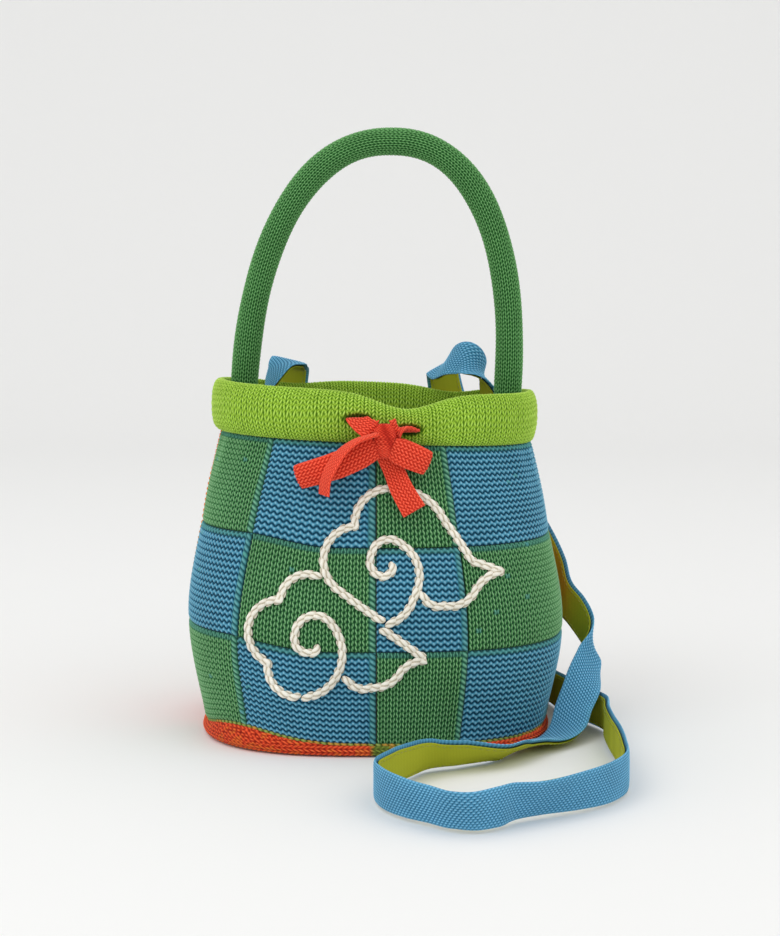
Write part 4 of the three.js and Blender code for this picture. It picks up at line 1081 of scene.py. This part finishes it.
class BAG_OT_bow(bpy.types.Operator):
    """Tie the bow: leads, knot, loops and tails"""

    bl_idname = "knitted_bag.bow"
    bl_label = "Bow"

    def execute(self, context):
        # The knot is an oval barrel: the root of a cosine up it, three times grooved round it.
        s = sizes()
        turn = round_angles(80)[None, :]
        rise = np.radians(np.linspace(-84, 84, 72))[:, None]
        around = np.cos(rise) ** 0.5
        fold = 1 - 0.12 * np.abs(np.sin(1.5 * turn + 1.1 * np.sin(rise))) ** 4
        u, v = KNOT_COLUMNS * np.sin(rise) + 0.5 + 0 * turn, turn / TAU * KNOT_ROWS + 0 * rise
        height = stocking_stitch(u, v)
        reach = 1.12 * around * fold + height * 0.07
        rings = np.stack([
            KNOT[0] + KNOT_HALF[0] * reach * np.cos(turn), KNOT[1] + KNOT_HALF[1] * reach * np.sin(turn),
            KNOT[2] + 1.08 * KNOT_HALF[2] * np.sin(rise) / np.sin(rise[-1]) + 0 * turn], axis=-1)
        # The tone drops in the three grooves: painted shade in the folds of the knot.
        tone = height * (0.35 + 0.65 * (fold - 0.88) / 0.12)
        knot = add_tube("tie_knot", rings, tone=tone)
        finish_piece(knot, "tie knit", "red_tie_knit", "bow", "bow_knot")
        for name, slit, side in (("left", LEFT_SLIT, -1), ("right", RIGHT_SLIT, 1)):
            inside = -(s.mouth_half_depth + RIM_OVERHANG - RIM_THICKNESS / 2)
            level = row_levels()[-1] + slit[1]
            outside = inside - RIM_THICKNESS / 2 - 3.5 * MM
            points = [(slit[0], y, level) for y in (inside, (inside + outside) / 2, outside)]
            points.extend(from_knot((side * 8.3, 0, 6.5), (side * 4, 0, 5.5)))
            lead = self.band(f"lead_{name}", smooth_path(points, 60), (1, 0, 0), 0.8, None)
            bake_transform(lead)
        self.loop("left", (-4, -2.4, -3.4), (-45, -2.5, -19), -1.5)
        self.loop("right", (4, -2.6, -3.6), (22, -2.7, -11.5), 0)
        self.tail("left",
                  [(-4.4, -4.3, 3.9), (-16, -8.8, 0), (-24, -10, -7), (-31, -10, -20), (-32, -10, -28)],
                  [(0, -1, 0), (0.3, -0.95, 0)] + [(0.45, -0.89, 0)] * 3, (0.95, 1.0))
        self.tail("right", [(0.8, 2.6, -7.6), (5, 2.9, -16), (9, -3.5, -25), (16, -7, -37)],
                  [(0.9, 0, 0.43)] * 4, (0.9, 1.12))
        return {"FINISHED"}

    def band(self, name, path, across, share, body, **shape):
        """A knitted band of the bow along a path: as wide as the tie, and as thick as a share of it."""
        s = sizes()
        band = knit_ribbon(f"tie_{name}", path, across, s.tie_width, s.tie_thickness * share, **shape)
        finish_piece(band, "tie knit", "red_tie_knit", body, f"bow_{name}")
        return band

    def loop(self, name, start, end, sag):
        """A loop of the bow: out along its front, round its fold and back behind."""
        start, end = np.array(start, float), np.array(end, float)
        middle = (start + end) / 2 + (0, 0, sag)
        depth = np.array([0, 3.4, 0])
        fold = end + unit(end - start) * 1.7 + depth / 2
        points = from_knot(start, middle, end, fold, end + depth, middle + depth, start + depth)
        path = smooth_path(points, 160)
        across = unit(np.array([end[2] - start[2], 0, start[0] - end[0]]))
        taper = ([0, 0.1, 0.25, 0.5, 0.75, 0.9, 1], [0.95, 1.2, 1.22, 1.1, 1.22, 1.2, 0.95])
        self.band(f"loop_{name}", path, across, 0.75, "bow", taper=taper, cup=0.7 * MM)

    def tail(self, name, points, acrosses, spread):
        """A free end of the bow, which spreads along its way."""
        path = smooth_path(from_knot(*points), 120)
        across = unit(smooth_path(unit(np.array(acrosses, float)), 120))
        self.band(f"tail_{name}", path, across, 0.85, "bow", taper=([0, 1], spread))


# Strap

# Places that the strap's stations are measured from, in millimetres.
ANCHORS = {
    "mouth_right": (87, 0, 193.5), "back_rim_right": (87, 62, 193.5), "mouth_left": (-87, 0, 193.5),
    "back_rim_left": (-87, 62, 193.5), "back_right": (105, 93, 60), "side_right": (105, 0, 60),
    "floor_right": (105, 0, 0), "floor_front": (0, -93, 0), "floor_back": (0, 93, 0), "back": (-87, 93, 60),
}
# The strap's stations by anchor: the offset from the anchor, with no height where the strap rests on the
# floor, and then the direction across it.
STRAP_ROUTE = [
    ("mouth_right", [
        (-17.8, 31.9, -31, -0.66, 0.75, 0), (-18.6, 27.5, -16, -0.62, 0.72, 0.2),
        (-22.5, 22, -3, -0.5, 0.62, 0.6), (-29, 22, 8, -0.25, 0.55, 0.8), (-35.5, 25, 13, 0, 0.52, 0.85),
        (-43, 33, 12, 0.22, 0.62, 0.75),
    ]),
    ("back_rim_right", [
        (-47.5, -17, 7.5, 0.45, 0.7, 0.55), (-48, 0, 5.5, 0.85, 0.35, 0.3),
        (-44, 15, -13, 0.95, 0.12, 0.25), (-35, 19, -36, 0.93, 0, 0.36),
    ]),
    ("back_right", [
        (-39, -6, 72, 0.8, 0, 0.6), (-17.5, -27, 52, 0.62, -0.25, 0.74),
    ]),
    ("side_right", [
        (2, 39.5, 20, 0.3, -0.25, 0.92), (5, 22, 8, 0.35, -0.3, 0.87), (11, 11, 1, 0.33, -0.25, 0.9),
        (16, -1, -7, 0.15, -0.15, 0.97),
    ]),
    ("floor_right", [
        (18, -10, 45, -0.25, -0.2, 0.95), (15.5, -17, 37, -0.55, -0.1, 0.83),
        (10.5, -32.5, 26, -0.88, 0.25, 0.4), (5, -43.5, 16.4, -0.94, 0.33, 0.12),
        (1, -54, 8.5, -0.93, 0.35, -0.05), (-7, -66, -0.75, 0.64, -0.12),
    ]),
    ("floor_front", [
        (86, 13, -0.4, 0.88, -0.25), (76, -2, -0.2, 0.92, -0.34), (66, -17, 0, 0.9, -0.44),
        (44, -30, 0, 0.69, -0.72), (28, -37, 0, 0.58, -0.81), (16.5, -53, 0, 0.43, -0.9),
        (8.5, -68, 0, 0.31, -0.95), (1, -88, 0, 0.3, -0.95), (4.8, -108, 0, 0.15, -0.99),
        (15, -125, 0, 0.25, -0.97), (25.5, -135.5, 0, 0.35, -0.94), (36.5, -146, 0, 0.38, -0.92),
        (46, -149, 0, 0.3, -0.95), (59, -141, 0, 0.2, -0.98), (67, -132, 0, 0.37, -0.93),
        (80, -124, 0, 0.47, -0.88), (99.5, -112, 0, 0.3, -0.95), (115, -97, 0, 0.1, -1),
        (125.5, -75, 0, 0, -1),
    ]),
    ("floor_right", [
        (23, -140, 0, 0, -1), (23.5, -112, 0, 0, -1), (22.5, -84, 0, 0, -1), (22.5, -58, 0, 0, -1),
        (23.8, -38, 0, 0, -1), (17.5, -18, 0, 0, -1), (7.5, 4, -0.1, 0, -1), (2, 24, -0.1, 0, -1),
        (-4, 44, 0, 0, -1), (-24, 73.5, 0, 0, -1),
    ]),
    ("floor_back", [
        (50, 5, 12, -0.2, 0, -0.98), (20, 12, 24, -0.5, 0, -0.87), (-7, 12, 46, -0.8, 0, -0.6),
    ]),
    ("back", [
        (57, 8, 14, -0.9, 0, -0.42), (46, -2, 56, -0.97, 0, -0.22),
    ]),
    ("back_rim_left", [
        (37, 18, -36, -1, 0, -0.1), (35, 11, -8, -1, 0.1, 0.05), (36.5, -1, 5, -0.98, 0.15, 0.1),
        (36.5, -17, 8, -0.97, 0.2, 0.1),
    ]),
    ("mouth_left", [
        (36, 30, 11.5, -0.9, 0.35, 0.2), (31.5, 22, 8.5, -0.62, 0.78, 0), (25, 20, -2, -0.2, 0.97, 0.19),
        (18.2, 25.5, -16, 0.3, 0.95, 0.16), (15, 26.1, -33, 0.5, 0.866, 0),
    ]),
]


STRAP_THICKNESS = 1.9 * MM
# The lining's half width, half thickness and depth under the strap's middle line.
LINING_BAND = (9 * MM, 0.4 * MM, 1.7 * MM)
# The running stitches' place from the middle, depth and half thickness, and their points along and around.
RUNNING_STITCH = (7.4 * MM, 2.15 * MM, 0.32 * MM)
RUNNING_POINTS = 6


def strap_stations():
    """Centres and across directions of the strap, in metres.

    A resting station stands at half the strap's width times its lean, plus half its thickness times the
    rest of the lean, plus a little for its stitches."""
    centres, acrosses = [], []
    for anchor, rows in STRAP_ROUTE:
        for *offset, side, front, up in rows:
            across = unit(np.array([side, front, up], float))
            lean = abs(across[2])
            resting = 10.5 * lean + math.sqrt(1 - lean**2) * 2.05 + 1.2
            centres.append((np.array(ANCHORS[anchor]) + (*offset, resting)[:3]) * MM)
            acrosses.append(across)
    return np.array(centres), np.array(acrosses)


class BAG_OT_strap(bpy.types.Operator):
    """Knit the shoulder strap and sew its lining under it"""

    bl_idname = "knitted_bag.strap"
    bl_label = "Shoulder strap"

    def execute(self, context):
        # The lining and its running stitches lie under the strap, along the normals of its face.
        s = sizes()
        centres, acrosses = strap_stations()
        count = (len(centres) - 1) * 24 + 1
        path = smooth_path(centres, count)
        across, face = square_across(path, smooth_path(acrosses, count))
        # Four points to a stitch each way fall on its ridges and its gaps.
        strap = knit_ribbon("knit_strap", path, across, s.strap_width, STRAP_THICKNESS,
                            s.fine_height / 4, (4, 1))
        finish_piece(strap, "strap knit", "strap_knit", "bag", "strap_face")
        lining = self.lining(path - face * LINING_BAND[2], across, face)
        finish_piece(lining, "olive cloth", "olive_lining", "bag", "strap_lining")
        seam = self.seam(path - face * RUNNING_STITCH[1], across, face)
        finish_piece(seam, "seam thread", "olive_lining", "bag")
        return {"FINISHED"}

    def lining(self, path, across, face):
        """A thin woven band: a flat oval carried along the strap's underside."""
        path, across, face = even_path(path, 1.5 * MM, across, face)
        turn = round_angles(28)[None, :]
        wide = signed_power(np.cos(turn), 0.4) * LINING_BAND[0]
        thick = signed_power(np.sin(turn), 0.5) * LINING_BAND[1]
        return add_tube("cloth_strap", swept(path, across, face, wide, thick))

    def seam(self, path, across, face):
        """Running stitches along both edges of the lining: short spindles on every other step."""
        path, across, face = even_path(path, 0.5 * MM, across, face)
        count = len(path) // 8 - 1
        point = np.arange(RUNNING_POINTS)[None, :]
        step = np.arange(count)[:, None] * 8 + point + 4
        turn = round_angles(RUNNING_POINTS)
        size = RUNNING_STITCH[2] * np.sin(math.pi * (point + 0.7) / (RUNNING_POINTS + 0.4))[..., None]
        beads = []
        for side in (-1, 1):
            centre = path[step] + across[step] * side * RUNNING_STITCH[0]
            beads.append(swept(centre, across[step], face[step], np.cos(turn) * size, np.sin(turn) * size))
        beads = np.concatenate(beads)
        return add_beads("strap_seam", beads, np.ones(beads.shape[:3]))


# Embroidery

# Corners across and up the front in millimetres, each with the bulge of the arc that leaves it.
CLOUD_LINES = {
    "upper_cloud_outline": [
        (4.2, 73.2, 0.3), (-18.1, 88.5, 12.8), (-10.7, 122.2, 6.5), (9.1, 141.6, 4.7), (37, 124.4, 0.3),
        (51.4, 103.1, 0.3), (67, 96.8, -2), (53, 88, 3), (36.8, 80.9, 3), (24.6, 88, 0),
    ],
    "upper_cloud_curl": [
        (6.2, 71.8, -3), (20.8, 86.4, -5.7), (13.9, 112.8, -5.1), (-1.9, 107.2, -2.8), (3.2, 96.4, -2.5),
        (9.4, 103, 0),
    ],
    "lower_cloud_outline_left": [
        (-29, 95.4, -6.5), (-50, 83.5, -14), (-56.3, 50.8, -5.8), (-40, 33, 0),
    ],
    "lower_cloud_curl": [
        (-38, 33, -3), (-20.1, 45.1, -5.1), (-24.9, 74, -6), (-42.3, 65.4, -2.5), (-36, 57, -1.5),
        (-29.6, 60, 0),
    ],
    "lower_cloud_outline_right": [
        (3.6, 69.4, 0.3), (27.1, 53.1, -1.6), (13.8, 47.3, 2.6), (-1.6, 38.7, 3), (-15.6, 44.2, 0),
    ],
}


YARN_PITCH = 5.2 * MM
YARN_RADIUS = 2.15 * MM
# How far a stitch crosses its line, how high its ends lie and how high its arch rises above them.
YARN_SLANT, YARN_LEVEL, YARN_ARCH = 3.0 * MM, 1.3 * MM, 0.7 * MM


def arc_between(x0, z0, x1, z1, bulge, steps=24):
    """Points of the circular arc between two places that stands out by the bulge to the left of its way."""
    chord = math.hypot(x1 - x0, z1 - z0)
    half = 2 * math.atan(2 * bulge / chord)
    share = np.arange(steps) / steps
    turn = half * (2 * share - 1)
    along = 0.5 + 0.5 * np.sin(turn) / math.sin(half)
    out = (np.cos(turn) - math.cos(half)) / (1 - math.cos(half)) * bulge
    x = x0 + (x1 - x0) * along - (z1 - z0) / chord * out
    z = z0 + (z1 - z0) * along + (x1 - x0) / chord * out
    return np.stack([x, z], axis=1)


def outline_points(corners):
    """A chain of arcs through corners, each corner with the bulge of the arc that leaves it."""
    arcs = [arc_between(a[0], a[1], b[0], b[1], a[2]) for a, b in zip(corners, corners[1:])]
    return np.vstack([*arcs, [corners[-1][:2]]])


class BAG_OT_embroidery(bpy.types.Operator):
    """Sew the two scroll clouds in overlapping stitches of cream yarn"""

    bl_idname = "knitted_bag.embroidery"
    bl_label = "Embroidery"

    def execute(self, context):
        for node, corners in CLOUD_LINES.items():
            stitches = self.stitches(node.replace("cloud", "yarn"), outline_points(corners) * MM)
            finish_piece(stitches, "cream yarn", "cream_yarn", "bag", node)
        return {"FINISHED"}

    def stitches(self, name, line):
        """Overlapping stitches: each a spindle that crosses the line on a slant and rises in a sine's arch.

        Its radius is a root of a sine along it, times its plies: the size of a cosine that winds round it."""
        flat, = even_path(line, 0.25 * MM)
        along = arc_length(flat)
        count = max(2, round(along[-1] / YARN_PITCH))
        pitch = along[-1] / count
        share = np.linspace(0, 1, 30)[None, :]
        start = (np.arange(count) * pitch)[:, None]
        distance = start + (share * 1.46 - 0.23) * pitch
        within = np.clip(distance, 0, along[-1])
        x, z = (np.interp(within, along, flat[:, axis]) for axis in (0, 1))
        beyond = distance - within
        for axis, place in ((0, x), (1, z)):
            before, after = flat[1, axis] - flat[0, axis], flat[-1, axis] - flat[-2, axis]
            place += np.where(beyond < 0, before / along[1], after / along[1]) * beyond * 0.7
        slope = unit(np.stack([np.gradient(x, axis=1), np.gradient(z, axis=1)], axis=-1))
        shift = (share - 0.5) * YARN_SLANT
        x, z = x - slope[..., 1] * shift, z + slope[..., 0] * shift
        lift = YARN_LEVEL + YARN_ARCH * np.sin(math.pi * share) + 0 * start
        centre, out = front_point(x, z, lift)
        tangent = unit(np.gradient(centre, axis=1))
        side = unit(np.cross(tangent, out))
        turn = round_angles(32)
        spindle = (np.clip(np.sin(math.pi * (0.03 + 0.94 * share)), 0, 1) ** 0.45)[..., None]
        ply = np.abs(np.cos(1.5 * turn[None, None, :] + 5.5 * share[..., None]))
        size = YARN_RADIUS * spindle * (0.80 + 0.20 * ply)
        rings = swept(centre, side, out, np.cos(turn) * size, np.sin(turn) * size * 0.85)
        # The tone falls between the plies and towards the stitch's ends: painted shade in the grooves and at
        # the tapered ends, and a painted highlight on the plies.
        tone = ply * spindle + np.zeros((count, 1, 1))
        return add_beads(name, rings, tone)


# Stage


class BAG_OT_stage(bpy.types.Operator):
    """Set the pale floor, the soft lights and the camera"""

    bl_idname = "knitted_bag.stage"
    bl_label = "Stage"

    def execute(self, context):
        # The lens is the sensor's width times the focal length over the picture's height, both in pixels.
        stage = context.scene.bag_stage
        camera = bpy.data.objects.new("camera", bpy.data.cameras.new("camera"))
        context.scene.collection.objects.link(camera)
        camera.location = (stage.camera_side, -stage.camera_distance, stage.camera_height)
        camera.rotation_euler = (math.pi / 2 - stage.camera_tilt, 0, 0)
        camera.data.sensor_width = 36
        camera.data.lens = stage.focal_pixels / stage.picture_height * camera.data.sensor_width
        context.scene.camera = camera
        context.scene.view_settings.view_transform = "Standard"
        floor = self.floor(stage)
        self.light("key", (-0.9, -0.9, 1.5), 1.1, stage.key_power)
        self.light("fill", (1.1, -1.0, 1.0), 1.4, stage.key_power * 0.35)
        self.light("top", (0.0, 0.2, 1.8), 1.6, stage.key_power * 0.4)
        world = bpy.data.worlds.new("studio")
        world.use_nodes = True
        background = world.node_tree.nodes["Background"]
        background.inputs["Color"].default_value = (*stage.pale, 1)
        background.inputs["Strength"].default_value = stage.sky
        context.scene.world = world
        return {"FINISHED"}

    def floor(self, stage):
        """A floor that curves up behind into a backdrop: a flat strip joined to a quarter turn and a wall."""
        turn = np.radians(np.linspace(0, 90, 24))
        y = np.concatenate([[-9], 1.6 + 0.9 * np.sin(turn), [2.5]])
        z = np.concatenate([[0], 0.9 - 0.9 * np.cos(turn), [3.5]])
        points = np.stack(np.broadcast_arrays([-9, 9], y[:, None], z[:, None]), axis=-1)
        floor = add_mesh("floor", points.reshape(-1, 3), grid_quads(len(y), 2)[:, ::-1])
        floor.data.materials.append(Shading("pale floor").finish((*stage.pale, 1), 0.1))
        return floor

    def light(self, name, place, size, power):
        """A square soft light that looks at the bag."""
        lamp = bpy.data.lights.new(name, "AREA")
        lamp.energy = power
        lamp.size = size
        obj = bpy.data.objects.new(name, lamp)
        obj.location = place
        aim = np.array([0, 0, 0.13]) - np.array(place)
        flat = math.hypot(aim[0], aim[1])
        obj.rotation_euler = (math.atan2(flat, -aim[2]), 0, math.atan2(aim[1], aim[0]) - math.pi / 2)
        bpy.context.scene.collection.objects.link(obj)


class BAG_PT_panel(bpy.types.Panel):
    """The bag's sizes, colours and pieces"""

    bl_idname = "BAG_PT_panel"
    bl_label = "Knitted bag"
    bl_space_type = "VIEW_3D"
    bl_region_type = "UI"
    bl_category = "Knitted bag"

    def draw(self, context):
        for group in (context.scene.bag_sizes, context.scene.bag_colours, context.scene.bag_stage):
            box = self.layout.box()
            for key in group.__annotations__:
                box.prop(group, key)
        for operator in OPERATORS:
            self.layout.operator(operator.bl_idname)


GROUPS = {"bag_sizes": BagSizes, "bag_colours": BagColours, "bag_stage": BagStage}
OPERATORS = (
    BAG_OT_stage, BAG_OT_front, BAG_OT_back, BAG_OT_seams, BAG_OT_base, BAG_OT_lining, BAG_OT_rim,
    BAG_OT_handle, BAG_OT_bow, BAG_OT_strap, BAG_OT_embroidery,
)


def register():
    """Registers the classes and hangs the settings on the scene."""
    for cls in (*GROUPS.values(), *OPERATORS, BAG_PT_panel):
        bpy.utils.register_class(cls)
    for key, group in GROUPS.items():
        setattr(bpy.types.Scene, key, PointerProperty(type=group))


def unregister():
    """Takes the settings and the classes away again."""
    for key in GROUPS:
        delattr(bpy.types.Scene, key)
    for cls in reversed((*GROUPS.values(), *OPERATORS, BAG_PT_panel)):
        bpy.utils.unregister_class(cls)


def main():
    """Builds every piece in order."""
    register()
    for operator in OPERATORS:
        getattr(bpy.ops.knitted_bag, operator.bl_idname.split(".")[1])()


if __name__ == "__main__":
    main()
